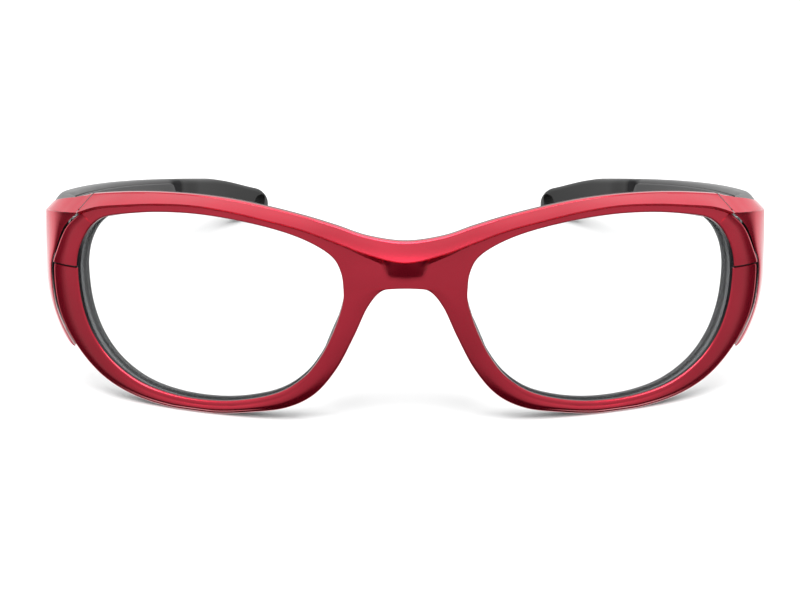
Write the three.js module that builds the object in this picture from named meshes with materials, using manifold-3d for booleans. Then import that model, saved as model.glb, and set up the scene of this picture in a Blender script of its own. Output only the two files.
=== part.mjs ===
// A wraparound full-rim spectacle frame of the kind that carries dental loupes.
// Millimetres, +Z up, the wearer looks along -Y, and the wearer's left is +X.
// It stands on its two lower rims and on the tips of its temples.
import * as THREE from "three";
import { mergeVertices } from "three/addons/utils/BufferGeometryUtils.js";
import Module from "manifold-3d";

// ---- Driving dimensions -------------------------------------------------------------------

const openingWidth = 53.7; // a lens opening, across
const openingHeight = 37.4; // a lens opening, up
const bridgeGap = 23.4; // between the two lens openings, at their closest
const rimFoot = 2.8; // rim under a lens opening
const rimSide = 5.4; // rim outboard of a lens opening
const faceRadius = 95; // the sphere that the front and the lenses follow
const faceFlat = 10; // half width of the bridge, which isn't curved across
const poleDrop = 5.9; // the sphere's nearest point, below the middle of the openings

const shellWall = 1.1; // red front at its edges
const browCrest = 0.9; // how far the brow's lower edge stands forward
const browLean = 1.9; // how far the brow's top edge leans back
const browBack = 2.7; // back of the red front at the brow's top edge
const lensWall = 1.3;
const lensHold = 0.9; // lens edge hidden behind the red front
const lipWall = 1.0; // rear lip of the black frame
const browFrame = 2.0; // black frame behind the brow's top edge
const browFall = 0.9; // how far the black frame's top falls behind the red brow

const templeLength = 132; // hinge to ear tip, along the arm
const templeBow = 212; // radius of the arm, seen from above
const templeFall = 0.19; // how steeply the arm drops behind the hinge
const templeDroop = 0.00045; // how much steeper it gets, each millimetre back
const armWall = 4.6; // arm thickness at the hinge
const armRear = 3.6; // arm thickness at the ear
const armHeight = 7.6;
const tipDrop = 2.4; // how much deeper the ear tip is than the arm
const tipSag = 2.4; // how far its top edge bends down towards the end
const tipWall = 4.2;
const capWall = 1.8;
const capLength = 7.8; // red cap, behind the rim's outer edge
const capFoot = 9.2; // lowest point of the cap
const linerWall = 1.0;
const linerStart = 14; // behind the hinge, along the arm
const linerEnd = 86;
const tipStart = 88;
const tongueLength = 14; // arm inside the ear tip
const slotLength = 4.6; // retainer slot in the ear tip
const slotHeight = 3.4;
const slotInset = 4.6; // its middle, ahead of the tip's end
const slotDrop = 5.2; // and below the tip's top edge

const hingeInset = 0.6; // hinge axis, outboard of the opening's edge
const hingeSetback = 5.0; // hinge axis, behind the rim's outer edge
const hingeHeight = 28.0;
const knuckleRadius = 1.5;
const knuckleHeight = 2.6; // the temple leaf's knuckle
const knuckleOuter = 1.7; // each of the front leaf's two knuckles
const pinRadius = 0.6;
const pinHead = 1.15;
const leafWall = 0.8;
const leafHeight = 13;
const leafReach = 10.3; // temple leaf, behind the hinge axis
const screwRadius = 0.45;
const screwHead = 0.95;
const screwLength = 1.9;

const padLength = 17.5;
const padWidth = 7.6;
const padWall = 2.4;
const padFlare = 14; // degrees between the pads' faces and straight back
const padInset = 2.2; // the pads' top ends, nearer the middle than the lens openings
const padPostWall = 1.2; // the post that a pad is pushed onto
const padPostHeight = 3.0;

const seat = 0.2; // between pieces that lie on each other
const seamGap = 0.35; // between the front and the temple caps
const cutGap = 0.3; // round a piece that sits in a pocket
const runningFit = 0.07; // round the hinge pins

// ---- Places that follow from them ---------------------------------------------------------

const openingEdge = bridgeGap / 2 + openingWidth;
const openingTop = rimFoot + openingHeight;
const pole = rimFoot + openingHeight / 2 - poleDrop;
const lensFront = shellWall + seat;
const lensBack = lensFront + lensWall;
const lipFront = lensBack + seat;
const lipBack = lipFront + lipWall;
const rimDepth = faceDepth(openingEdge + rimSide, hingeHeight);
const sideX = openingEdge + rimSide + capWall;
const templeTop = openingTop - 1.55;
const hingeX = openingEdge + hingeInset;
const hingeY = rimDepth + hingeSetback;
const leafFace = hingeY - knuckleRadius - seat; // rear face of the front leaf's plate
const lugFace = leafFace - leafWall - seat; // rear face of the black frame's lug
const armFace = sideX - armWall; // inner face of the arm at the hinge
const tempPlanLength = templeLength * 0.97; // along the arm, seen from above

// ---- The front's sphere -------------------------------------------------------------------

// Depth of the front's surface: a sphere on each side, joined by a bridge flat across.
function faceDepth(x, z) {
  const across = Math.max(Math.abs(x) - faceFlat, 0);
  return faceRadius - Math.sqrt(faceRadius ** 2 - across ** 2 - (z - pole) ** 2);
}

// A point some way behind the sphere, square to it as seen from above.
function behindFace(x, z, depth) {
  const across = Math.max(Math.abs(x) - faceFlat, 0);
  const slope = (Math.sign(x) * across) / (faceRadius - faceDepth(x, z));
  const length = Math.hypot(1, slope);
  return new THREE.Vector3(x - (depth * slope) / length, faceDepth(x, z) + depth / length, z);
}

// ---- Outlines -----------------------------------------------------------------------------

// Round each opening: its edge as shares of its width and height, and the rim's outer edge as
// millimetres from there. From the bridge's underside by the nose and the foot to the corner.
const rimStations = [
  [0.006, 0.663, 0, 0.0],
  [0.006, 0.604, 0.36, 1.8],
  [0.017, 0.535, 0.615, 1.1],
  [0.045, 0.422, -4.2, -0.6],
  [0.089, 0.294, -3.1, -2.6],
  [0.151, 0.176, -2.0, -3.7],
  [0.24, 0.083, -1.2, -3.4],
  [0.359, 0.027, -0.4, -2.8],
  [0.49, 0.0, 0, -rimFoot],
  [0.639, 0.005, 0, -rimFoot - 0.005 * openingHeight],
  [0.769, 0.048, 1.4, -3.3],
  [0.873, 0.139, 2.6, -3.6],
  [0.944, 0.267, 4.2, -2.8],
  [0.985, 0.422, rimSide - 0.1, -2.0],
  [1.0, 0.594, rimSide, -0.4],
  [0.993, 0.711, rimSide - 0.7, -0.4],
  [0.97, 0.802, 4.0, 1.0],
  [0.935, 0.872, 2.7, 1.8],
];
// Over each opening, from the corner to the bridge: its edge, then the brow's lower edge and
// the brow's top edge as millimetres from there.
const browStations = [
  [0.935, 0.872, 2.7, 1.8, 1.1, 5.2],
  [0.885, 0.922, 1.4, 1.75, 0.4, 4.1],
  [0.799, 0.957, 0.6, 1.7, 0.0, 3.7],
  [0.685, 0.987, 0.1, 1.7, -0.1, 3.3],
  [0.555, 1.0, -0.2, 1.75, -0.2, 3.1],
  [0.425, 0.992, -0.5, 1.6, -0.5, 3.1],
  [0.294, 0.965, -0.9, 1.4, -0.9, 3.1],
  [0.182, 0.925, -1.9, 1.35, -1.9, 3.2],
  [0.095, 0.872, -3.4, 1.2, -3.4, 3.55],
  [0.039, 0.813, 0.615, 1.2, 0.615, 3.8],
  [0.013, 0.738, 0, 2.6, 0, 5.65],
];
const bridgeRimStations = 3; // the first ones lie on the bridge, at shares of its half width
const bridgeBrowStations = 2; // the last ones do
const stationSteps = 2;

function openingPoint(across, up) {
  return new THREE.Vector2(bridgeGap / 2 + across * openingWidth, rimFoot + up * openingHeight);
}

function offsetPoint(edge, x, z, onBridge) {
  return new THREE.Vector2(onBridge ? (x * bridgeGap) / 2 : edge.x + x, edge.y + z);
}

const mirrored = (point) => new THREE.Vector2(-point.x, point.y);

// A smooth curve through points, with given neighbours before the first and after the last.
function smoothLine(points, before, after) {
  const line = [before, ...points, after];
  const samples = [points[0]];
  for (let i = 1; i < points.length; i++) {
    const span = line.slice(i - 1, i + 3);
    for (let step = 1; step <= stationSteps; step++) {
      samples.push(catmullRom(span, step / stationSteps));
    }
  }
  return samples;
}

function catmullRom([a, b, c, d], t) {
  const mix = (key) =>
    0.5 *
    (2 * b[key] +
      (c[key] - a[key]) * t +
      (2 * a[key] - 5 * b[key] + 4 * c[key] - d[key]) * t ** 2 +
      (3 * b[key] - a[key] - 3 * c[key] + d[key]) * t ** 3);
  return new THREE.Vector2(mix("x"), mix("y"));
}

// One entry for each step round an opening: the opening's edge, the brow's lower edge (or the
// rim's outer edge) and the brow's top edge, whether the brow is there, and whether the rim's
// outer edge is a rounded one.
function frontRibs() {
  const rimEdge = rimStations.map(([across, up]) => openingPoint(across, up));
  const browEdge = browStations.map(([across, up]) => openingPoint(across, up));
  const rimOuter = rimStations.map(([, , x, z], i) =>
    offsetPoint(rimEdge[i], x, z, i < bridgeRimStations),
  );
  const onBridge = (i) => i >= browStations.length - bridgeBrowStations;
  const crease = browStations.map(([, , x, z], i) => offsetPoint(browEdge[i], x, z, onBridge(i)));
  const top = browStations.map(([, , , , x, z], i) => offsetPoint(browEdge[i], x, z, onBridge(i)));
  const last = crease.length - 1;
  const rimLast = rimOuter.length - 1;
  const rimEdges = smoothLine(rimEdge, browEdge[last], browEdge[1]);
  const rimOuters = smoothLine(rimOuter, mirrored(rimOuter[1]), rimOuter[rimLast]);
  rimOuters.forEach((point) => point.setY(Math.max(point.y, 0)));
  const browEdges = smoothLine(browEdge, rimEdge[rimLast - 1], rimEdge[0]);
  const creases = smoothLine(crease, crease[0], mirrored(crease[last - 1]));
  const tops = smoothLine(top, top[0], mirrored(top[last - 1]));
  const middleEdges = smoothLine([browEdge[last], rimEdge[0]], browEdge[last - 1], rimEdge[1]);
  const closed = (edge, outer, rounded) => ({
    edge,
    crease: outer,
    top: outer,
    brow: false,
    rounded,
  });
  const ribs = rimEdges.map((edge, i) => closed(edge, rimOuters[i], true));
  browEdges.forEach((edge, i) => {
    ribs.push({ edge, crease: creases[i], top: tops[i], brow: true, rounded: false });
  });
  middleEdges.forEach((edge, i) => {
    const share = i / stationSteps;
    const outer = crease[last].clone().lerp(rimOuter[0], share);
    ribs.push(closed(edge, outer, false));
  });
  return ribs;
}

// ---- Meshes -------------------------------------------------------------------------------

function geometryOf(corners) {
  const positions = new Float32Array(corners.flatMap((corner) => [corner.x, corner.y, corner.z]));
  const geometry = new THREE.BufferGeometry();
  geometry.setAttribute("position", new THREE.BufferAttribute(positions, 3));
  return dropSlivers(mergeVertices(geometry, 1e-4));
}

function dropSlivers(geometry) {
  const index = Array.from(geometry.index.array);
  const kept = [];
  for (let i = 0; i < index.length; i += 3) {
    const [a, b, c] = index.slice(i, i + 3);
    if (a !== b && b !== c && c !== a) kept.push(a, b, c);
  }
  geometry.setIndex(kept);
  return geometry;
}

function quad(corners, a, b, c, d) {
  corners.push(a, b, c, a, c, d);
}

// A tube through equal sections, each a closed loop of an even number of points. Its ends are
// closed by strips across, from one half of the loop to the other.
function loft(sections) {
  const corners = [];
  const around = sections[0].length;
  for (let i = 1; i < sections.length; i++) {
    for (let j = 0; j < around; j++) {
      const next = (j + 1) % around;
      const [here, there] = [sections[i - 1], sections[i]];
      quad(corners, here[j], here[next], there[next], there[j]);
    }
  }
  const [first, last] = [sections[0], sections.at(-1)];
  for (let j = 0; j + 1 < around / 2; j++) {
    const [far, farNext] = [around - 1 - j, around - 2 - j];
    quad(corners, first[far], first[farNext], first[j + 1], first[j]);
    quad(corners, last[j], last[j + 1], last[farNext], last[far]);
  }
  return facingOut(geometryOf(corners));
}

function signedVolume(geometry) {
  const position = geometry.attributes.position;
  const index = geometry.index.array;
  const [a, b, c] = [new THREE.Vector3(), new THREE.Vector3(), new THREE.Vector3()];
  let volume = 0;
  for (let i = 0; i < index.length; i += 3) {
    a.fromBufferAttribute(position, index[i]);
    b.fromBufferAttribute(position, index[i + 1]);
    c.fromBufferAttribute(position, index[i + 2]);
    volume += a.dot(b.cross(c)) / 6;
  }
  return volume;
}

function facingOut(geometry) {
  if (signedVolume(geometry) < 0) geometry.index.array.reverse();
  return geometry;
}

// The same shape on the wearer's other side.
function mirrorGeometry(geometry) {
  const copy = geometry.clone().scale(-1, 1, 1);
  copy.index.array.reverse();
  return copy;
}

// A ring of equal loops round each opening, the two joined on the middle plane.
function frontFromLoops(loops) {
  const corners = [];
  const around = loops[0].length;
  loops.forEach((loop, i) => {
    const following = loops[(i + 1) % loops.length];
    for (let j = 0; j < around; j++) {
      const next = (j + 1) % around;
      quad(corners, loop[j], loop[next], following[next], following[j]);
    }
  });
  const onMiddle = (triangle) => triangle.every((corner) => Math.abs(corner.x) < 1e-6);
  const both = [];
  for (let i = 0; i < corners.length; i += 3) {
    const triangle = corners.slice(i, i + 3);
    if (onMiddle(triangle)) continue;
    both.push(...triangle);
    both.push(...triangle.reverse().map((p) => new THREE.Vector3(-p.x, p.y, p.z)));
  }
  return facingOut(geometryOf(both));
}

const wasm = await Module();
wasm.setup();

function toSolid(geometry) {
  const bare = new THREE.BufferGeometry();
  bare.setAttribute("position", geometry.attributes.position);
  bare.setIndex(geometry.index);
  const merged = mergeVertices(bare, 1e-4);
  return new wasm.Manifold(
    new wasm.Mesh({
      numProp: 3,
      vertProperties: new Float32Array(merged.attributes.position.array),
      triVerts: new Uint32Array(merged.index.array),
    }),
  );
}

function toGeometry(solid) {
  const mesh = solid.getMesh();
  const geometry = new THREE.BufferGeometry();
  geometry.setAttribute("position", new THREE.BufferAttribute(mesh.vertProperties, 3));
  geometry.setIndex(new THREE.BufferAttribute(mesh.triVerts, 1));
  return geometry;
}

const joined = (shapes) => shapes.map(toSolid).reduce((all, solid) => all.add(solid));
const cutBy = (solid, shapes) => shapes.map(toSolid).reduce((all, tool) => all.subtract(tool), solid);

function box([x0, y0, z0], [x1, y1, z1]) {
  const geometry = new THREE.BoxGeometry(x1 - x0, y1 - y0, z1 - z0);
  return geometry.translate((x0 + x1) / 2, (y0 + y1) / 2, (z0 + z1) / 2);
}

function upright(radius, [x, y], low, high, sides = 20) {
  const geometry = new THREE.CylinderGeometry(radius, radius, high - low, sides);
  return geometry.rotateX(Math.PI / 2).translate(x, y, (low + high) / 2);
}

// ---- The front ----------------------------------------------------------------------------

const mix = THREE.MathUtils.lerp;
const ribs = frontRibs();

// A point across a rib: 0 to 1 from the opening to the crease, 1 to 2 from there to the top.
function ribPoint(rib, across, inset = 0) {
  const point = rib.edge.clone();
  if (across <= 1) {
    const span = rib.crease.clone().sub(rib.edge);
    return point.addScaledVector(span, across + inset / span.length());
  }
  return rib.crease.clone().lerp(rib.top, across - 1);
}

// The crest of the brow stands further forward over the nose.
function crestHeight(x) {
  const overNose = Math.max(0, 1 - Math.abs(x) / (1.3 * faceFlat));
  return browCrest + 0.7 * overNose * overNose;
}

// Red front: a rounded rim, with a crested facet above it that leans back to the brow's top.
function shellLoop(rib) {
  const at = (across, depth) => {
    const point = ribPoint(rib, across);
    return behindFace(point.x, point.y, depth);
  };
  const outer = rib.rounded ? 0.45 : 0;
  const crest = -crestHeight(rib.crease.x);
  const closedDepth = (share) => mix(outer, shellWall, share);
  const browDepth = (open, share) => (rib.brow ? open : closedDepth(share));
  return [
    at(0, 0.45),
    at(0.2, -0.05),
    at(0.55, -0.15),
    at(0.85, 0),
    at(1, outer),
    at(1.02, browDepth(crest, 0.15)),
    at(1.85, browDepth(mix(crest, browLean, 0.8), 0.3)),
    at(2, browDepth(browLean, 0.45)),
    at(2, browDepth(browBack, 0.75)),
    at(1, shellWall),
    at(0, shellWall),
  ];
}

// Black frame: a rebate that the lens lies in, and behind the brow a rail that follows it.
function frameLoop(rib) {
  const at = (across, depth, inset = 0) => {
    const point = ribPoint(rib, across, inset);
    return behindFace(point.x, point.y, depth);
  };
  const closedDepth = (share) => mix(lensFront, lipBack, share);
  const railFront = browBack + seat;
  const browTop = (depth, fall, share) => {
    if (!rib.brow) return at(2, closedDepth(share));
    return behindFace(rib.top.x, rib.top.y - fall, depth);
  };
  return [
    at(0, lipBack),
    at(0, lipFront),
    at(0, lipFront, lensHold + seat),
    at(0, lensFront, lensHold + seat),
    at(1, lensFront),
    browTop(railFront, 0.1, 0.25),
    browTop(railFront + 0.5, 0, 0.5),
    browTop(railFront + browFrame, browFall, 0.75),
    at(1, lipBack),
  ];
}

// A lens: its outline, filled in rings towards its middle, at two depths.
function lensGeometry() {
  const rings = 5;
  const outline = ribs.map((rib) => ribPoint(rib, 0, lensHold));
  const middle = new THREE.Vector2(bridgeGap / 2 + openingWidth / 2, rimFoot + openingHeight / 2);
  const corners = [];
  const at = (i, ring, depth) => {
    const point = middle.clone().lerp(outline[i % outline.length], ring / rings);
    return behindFace(point.x, point.y, depth);
  };
  for (let i = 0; i < outline.length; i++) {
    for (let ring = 0; ring < rings; ring++) {
      quad(
        corners,
        at(i, ring, lensFront),
        at(i, ring + 1, lensFront),
        at(i + 1, ring + 1, lensFront),
        at(i + 1, ring, lensFront),
      );
      quad(
        corners,
        at(i + 1, ring, lensBack),
        at(i + 1, ring + 1, lensBack),
        at(i, ring + 1, lensBack),
        at(i, ring, lensBack),
      );
    }
    quad(
      corners,
      at(i, rings, lensFront),
      at(i, rings, lensBack),
      at(i + 1, rings, lensBack),
      at(i + 1, rings, lensFront),
    );
  }
  return facingOut(geometryOf(corners));
}

// ---- Nose pads ----------------------------------------------------------------------------

// The middle of a pad, from 0 at its top to 1 at its foot.
const padTop = new THREE.Vector3(bridgeGap / 2 - padInset, lipBack + 4.0, rimFoot + 0.575 * openingHeight);
const padLean = 0.42; // sideways run of a pad, each millimetre down
const padTurn = THREE.MathUtils.degToRad(padFlare);
const padDrop = padLength / Math.hypot(1, padLean);

function padGeometry() {
  const steps = 12;
  const around = 12;
  const wide = new THREE.Vector3(Math.sin(padTurn), Math.cos(padTurn), 0);
  const thick = new THREE.Vector3(Math.cos(padTurn), -Math.sin(padTurn), 0);
  const sections = [];
  for (let i = 0; i <= steps; i++) {
    const along = -Math.cos((Math.PI * (i + 0.35)) / (steps + 0.7));
    const size = Math.sqrt(1 - Math.abs(along) ** 2.6);
    const drop = ((1 + along) / 2) * padDrop;
    const middle = padTop.clone().add(new THREE.Vector3(drop * padLean, 0, -drop));
    const section = [];
    for (let j = 0; j < around; j++) {
      const turn = (2 * Math.PI * j) / around;
      const across = (Math.cos(turn) * padWidth * size) / 2;
      const out = (Math.sin(turn) * padWall * Math.sqrt(size)) / 2;
      section.push(middle.clone().addScaledVector(wide, across).addScaledVector(thick, out));
    }
    sections.push(section);
  }
  return loft(sections);
}

// The post behind the nasal rim that a pad is pushed onto, from inside the frame's lip.
function padPost(gap) {
  const middle = padTop.clone().add(new THREE.Vector3(padDrop * padLean, 0, -padDrop).multiplyScalar(0.5));
  const [half, rise] = [padPostWall / 2 + gap, padPostHeight / 2 + gap];
  const root = (middle.y - lipBack + 0.6) / Math.cos(padTurn);
  const reach = padWidth / 2 - 2.2 + gap;
  const post = box([-half, -root, -rise], [half, reach, rise]);
  return post.rotateZ(-padTurn).translate(middle.x, middle.y, middle.z);
}

// ---- Temples ------------------------------------------------------------------------------

const smoothStep = (value, low, high) => THREE.MathUtils.smoothstep(value, low, high);

// Height of a temple's top edge, some way back.
function templeTopAt(y) {
  const back = Math.max(0, y - rimDepth);
  return templeTop - templeFall * back - templeDroop * back ** 2;
}

// Height of its lower edge: the tall front end sweeps up to the slim arm.
function templeLowAt(y) {
  const slim = templeTopAt(y) - armHeight;
  return mix(capFoot, slim, smoothStep(y, rimDepth - 2, rimDepth + 23));
}

// A temple's outer line seen from above: straight past the cap, then an arc towards the head.
function templeLine(along) {
  const bend = Math.max(0, along - (capLength - hingeSetback)) / templeBow;
  const straight = Math.min(along, capLength - hingeSetback);
  return {
    point: new THREE.Vector2(
      sideX - templeBow * (1 - Math.cos(bend)),
      hingeY + straight + templeBow * Math.sin(bend),
    ),
    inward: new THREE.Vector2(-Math.cos(bend), -Math.sin(bend)),
  };
}

// A box-like section with softened corners, between two depths into the temple and two heights.
function templeSection(along, outer, inner, low, high, soften) {
  const { point, inward } = templeLine(along);
  const at = (depth, z) => {
    const place = point.clone().addScaledVector(inward, depth);
    return new THREE.Vector3(place.x, place.y, Math.max(z, 0));
  };
  return [
    at(outer, low + soften),
    at(outer, high - soften),
    at(outer + soften, high),
    at(inner - soften, high),
    at(inner, high - soften),
    at(inner, low + soften),
    at(inner - soften, low),
    at(outer + soften, low),
  ];
}

const armWallAt = (along) => mix(armWall, armRear, smoothStep(along, 20, tipStart));
const capEnd = capLength - hingeSetback; // rear edge of the cap, from the hinge axis

// The arm's front end, inside the cap: its top leans in as the cap's roof does.
function neckSection(along) {
  const { point, inward } = templeLine(along);
  const [low, high] = [hingeHeight - leafHeight / 2 - 1, templeTopAt(point.y) - 0.3];
  const outer = capWall + cutGap;
  const corners = [
    [outer, low + 0.4],
    [outer, high - 3.6],
    [outer + 2.0, high],
    [armWall - 0.2, high],
    [armWall, high - 0.4],
    [armWall, low + 0.4],
    [armWall - 0.4, low],
    [outer + 0.4, low],
  ];
  return corners.map(([depth, z]) => {
    const place = point.clone().addScaledVector(inward, depth);
    return new THREE.Vector3(place.x, place.y, z);
  });
}

function armGeometry() {
  const sections = [0.2, capEnd].map(neckSection);
  const frontSteps = [0.3, 3, 6, 9, 12];
  const full = (along) => {
    const y = templeLine(along).point.y;
    const inner = armWallAt(along) - linerCut(along);
    return templeSection(along, 0, inner, templeLowAt(y), templeTopAt(y), 0.9);
  };
  frontSteps.forEach((step) => sections.push(full(capEnd + step)));
  const rearSteps = 12;
  for (let i = 0; i <= rearSteps; i++) {
    sections.push(full(mix(linerStart + 2, linerEnd, i / rearSteps)));
  }
  sections.push(full(tipStart));
  for (const along of [tipStart + 0.3, tipStart + tongueLength / 2, tipStart + tongueLength]) {
    sections.push(tongueSection(along, 0));
  }
  return loft(sections);
}

// The arm is thinner where the liner lies on it.
function linerCut(along) {
  const cut = linerWall + seat;
  return cut * smoothStep(along, linerStart - 1, linerStart + 1) - cut * smoothStep(along, linerEnd, tipStart);
}

function tongueSection(along, gap) {
  const y = templeLine(along).point.y;
  const [low, high] = [templeTopAt(y) - armHeight + 1.8, templeTopAt(y) - 1.8];
  return templeSection(along, 1.2 - gap, armRear - 1.0 + gap, low - gap, high + gap, 0.3);
}

function linerGeometry() {
  const steps = 14;
  const sections = [];
  for (let i = 0; i <= steps; i++) {
    const along = mix(linerStart + 1.5, linerEnd - 0.5, i / steps);
    const y = templeLine(along).point.y;
    const inner = armWallAt(along);
    const low = Math.max(templeLowAt(y), templeTopAt(y) - armHeight) + 0.7;
    sections.push(
      templeSection(along, inner - linerWall, inner, low, templeTopAt(y) - 0.9, 0.25),
    );
  }
  return loft(sections);
}

// Ear tip: pushed over the arm's tongue, deeper towards its rounded end.
function tipGeometry() {
  const end = tempPlanLength;
  const steps = 12;
  const sections = [];
  for (let i = 0; i <= steps; i++) {
    const along = mix(tipStart + cutGap, end, Math.sin((Math.PI / 2) * (i / steps)));
    const y = templeLine(along).point.y;
    const fromEnd = THREE.MathUtils.clamp((end - along) / 5, 0.03, 1);
    const round = Math.sqrt(1 - (1 - fromEnd) ** 2);
    const drop = tipDrop * smoothStep(along, tipStart + 20, end - 10);
    const sag = tipSag * smoothStep(along, tipStart + 16, end + 2);
    const [high, low] = [templeTopAt(y) - sag, templeTopAt(y) - armHeight - drop];
    const middle = mix(low, high, 0.42);
    const wall = mix(armRear, tipWall, smoothStep(along, tipStart, tipStart + 8));
    const wallRound = mix(0.5, 1, round);
    const outer = (wall * (1 - wallRound)) / 2;
    const [bottom, top] = [mix(middle, low, round), mix(middle, high, round)];
    sections.push(templeSection(along, outer, wall - outer, bottom, top, 0.9 * wallRound));
  }
  const pocket = [tipStart - 1, tipStart + tongueLength / 2, tipStart + tongueLength + cutGap];
  const cutter = loft(pocket.map((along) => tongueSection(along, cutGap)));
  return toGeometry(cutBy(toSolid(loft(sections)), [cutter, slotCutter()]));
}

// The slot near the end that a retainer cord is tied through.
function slotCutter() {
  const [radius, half] = [slotHeight / 2, (slotLength - slotHeight) / 2];
  const outline = new THREE.Shape();
  outline.absarc(0, half, radius, 0, Math.PI);
  outline.absarc(0, -half, radius, Math.PI, 2 * Math.PI);
  const slot = new THREE.ExtrudeGeometry(outline, {
    depth: 2 * tipWall,
    bevelEnabled: false,
    curveSegments: 8,
  });
  const { point, inward } = templeLine(tempPlanLength - slotInset);
  const place = point.clone().addScaledVector(inward, tipWall / 2);
  slot.rotateY(Math.PI / 2).translate(-tipWall, 0, 0);
  slot.rotateZ(Math.atan2(-inward.y, -inward.x));
  return slot.translate(place.x, place.y, templeTopAt(point.y) - slotDrop);
}

// ---- Temple caps --------------------------------------------------------------------------

// The front's outer edge at a height, which the cap's edge follows: from the brow's end down.
const seamLine = [...ribs.filter((rib) => !rib.brow).map((rib) => rib.crease)]
  .filter((point) => point.x > openingEdge - 4 && point.y > capFoot - 4)
  .concat([ribs.find((rib) => rib.brow).top])
  .sort((a, b) => a.y - b.y);

function seamAt(z) {
  const above = seamLine.findIndex((point) => point.y >= z);
  if (above < 1) return seamLine.at(above === 0 ? 0 : -1).x;
  const [low, high] = [seamLine[above - 1], seamLine[above]];
  return mix(low.x, high.x, (z - low.y) / (high.y - low.y));
}

// How far the cap's side tucks in below the hinge, as the rim does.
const tuckAt = (z) => 4.5 * (Math.max(0, hingeHeight - 5 - z) / 15) ** 2;

const cornerReach = 2.4; // rounding where the cap turns from the front to the side
const cornerSteps = 4;
const roofLean = 2.0; // how far the side's facet leans in
const [, seamUp, , , , seamRise] = browStations[0];
const roofSeam = rimFoot + seamUp * openingHeight + seamRise; // the cap's top edge at the seam
const roofCorner = roofSeam - 2.3;
const facetSeam = roofSeam - 3.4; // the brow's lower edge, carried round the cap
const facetSide = roofSeam - 4.5;
const roofDepth = 1.5; // how far the roof reaches in

// Places across the cap at one height: along the front, round the corner, back along the side.
function capPath(z, lean) {
  const side = sideX - tuckAt(z);
  const start = seamAt(z) + seamGap;
  const bend = Math.max(side - cornerReach, start + 0.3);
  const onFront = (x, share) => new THREE.Vector2(x, faceDepth(x, z) + lean * mix(browLean, 1.4, share));
  const corner = new THREE.Vector2(side, faceDepth(side, z));
  const sideFront = new THREE.Vector2(side - roofLean * lean, corner.y + 3);
  const turn = new THREE.QuadraticBezierCurve(onFront(bend, 0.6), corner, sideFront);
  const ahead = new THREE.Vector2(-0.2, 1);
  const path = [
    { outer: onFront(start, 0), inward: ahead, round: 0 },
    { outer: onFront(mix(start, bend, 0.5), 0.3), inward: ahead, round: 0.25 },
  ];
  for (let i = 0; i <= cornerSteps; i++) {
    const angle = (i / cornerSteps) * (Math.PI / 2);
    path.push({
      outer: turn.getPoint(i / cornerSteps),
      inward: new THREE.Vector2(-Math.sin(angle), Math.cos(angle)),
      round: mix(0.5, 1, i / cornerSteps),
    });
  }
  const rear = new THREE.Vector2(sideFront.x, hingeY + capEnd - cutGap);
  path.push({ outer: rear, inward: new THREE.Vector2(-1, 0), round: 1 });
  return path;
}

// Cap: walls from the foot up to the carried-round crease, then a facet that leans in to a roof.
function capGeometry() {
  const columns = capPath(hingeHeight, 0).map(({ outer, round }, i, path) => {
    const roofRear = templeTopAt(outer.y);
    const rear = i === path.length - 1;
    return {
      foot: templeLowAt(outer.y),
      facet: rear ? roofRear - 2.2 : mix(facetSeam, facetSide, round),
      roof: rear ? roofRear : mix(roofSeam, roofCorner, round),
    };
  });
  const place = (column, rise, lean, depth) => {
    const { foot, facet, roof } = columns[column];
    const z = lean > 0 ? roof : mix(foot, facet, rise);
    const { outer, inward } = capPath(z, lean)[column];
    const point = outer.clone().addScaledVector(inward, depth);
    const fall = lean * templeFall * (point.y - outer.y);
    return new THREE.Vector3(point.x, point.y, z - fall);
  };
  const steps = 9;
  const stack = Array.from({ length: steps + 1 }, (_, i) => [1 - (1 - i / steps) ** 1.6, 0, capWall]);
  stack.push([1, 1, roofDepth]);
  const sections = stack.map(([rise, lean, wall]) => {
    const outside = columns.map((_, column) => place(column, rise, lean, 0));
    const inside = columns.map((_, column) => place(column, rise, lean, wall)).reverse();
    return [...outside, ...inside];
  });
  return loft(sections);
}

// ---- Hinges -------------------------------------------------------------------------------

const axis = [hingeX, hingeY];
const leafLow = hingeHeight - leafHeight / 2;
const leafHigh = hingeHeight + leafHeight / 2;
const joint = 0.15; // between knuckles
const knuckleTop = hingeHeight + knuckleHeight / 2;
const knuckleFoot = hingeHeight - knuckleHeight / 2;
const bore = upright(pinRadius + runningFit, axis, leafLow - 5, leafHigh + 5);
const screwInset = 1.2; // screws, from the ends of a leaf

// Black lug behind the rim's corner that the front leaf is screwed to.
function lugGeometry() {
  const side = hingeX + 0.9;
  const high = leafHigh + 0.3;
  const front = Math.max(rimDepth + 0.1, faceDepth(side, high) + capWall + cutGap);
  return box([hingeX - 1.6, front, leafLow - 0.3], [side, lugFace, high]);
}

function screwAlongY(z, gap) {
  return screwShape(gap).translate(hingeX, leafFace - leafWall / 2, z);
}

// A small pan-head screw whose tip points to -Y, with its head on the leaf.
function screwShape(gap) {
  const seatDepth = leafWall / 2 + (gap ? 0 : 0.03);
  const profile = [
    [0, -screwLength - gap],
    [screwRadius + gap, -screwLength - gap],
    [screwRadius + gap, seatDepth],
    [gap ? screwRadius + gap : screwHead, seatDepth],
    [gap ? screwRadius + gap : screwHead, seatDepth + 0.25],
    [gap ? screwRadius + gap : screwHead * 0.6, seatDepth + 0.5],
    [0, seatDepth + 0.5],
  ];
  const points = profile.map(([r, y]) => new THREE.Vector2(r, y));
  return new THREE.LatheGeometry(points, 16);
}

const frontScrews = [leafLow + screwInset, leafHigh - screwInset];
const templeScrews = [6.0, leafReach - 1.6]; // behind the hinge axis
const screwFit = 0.1;

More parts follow.
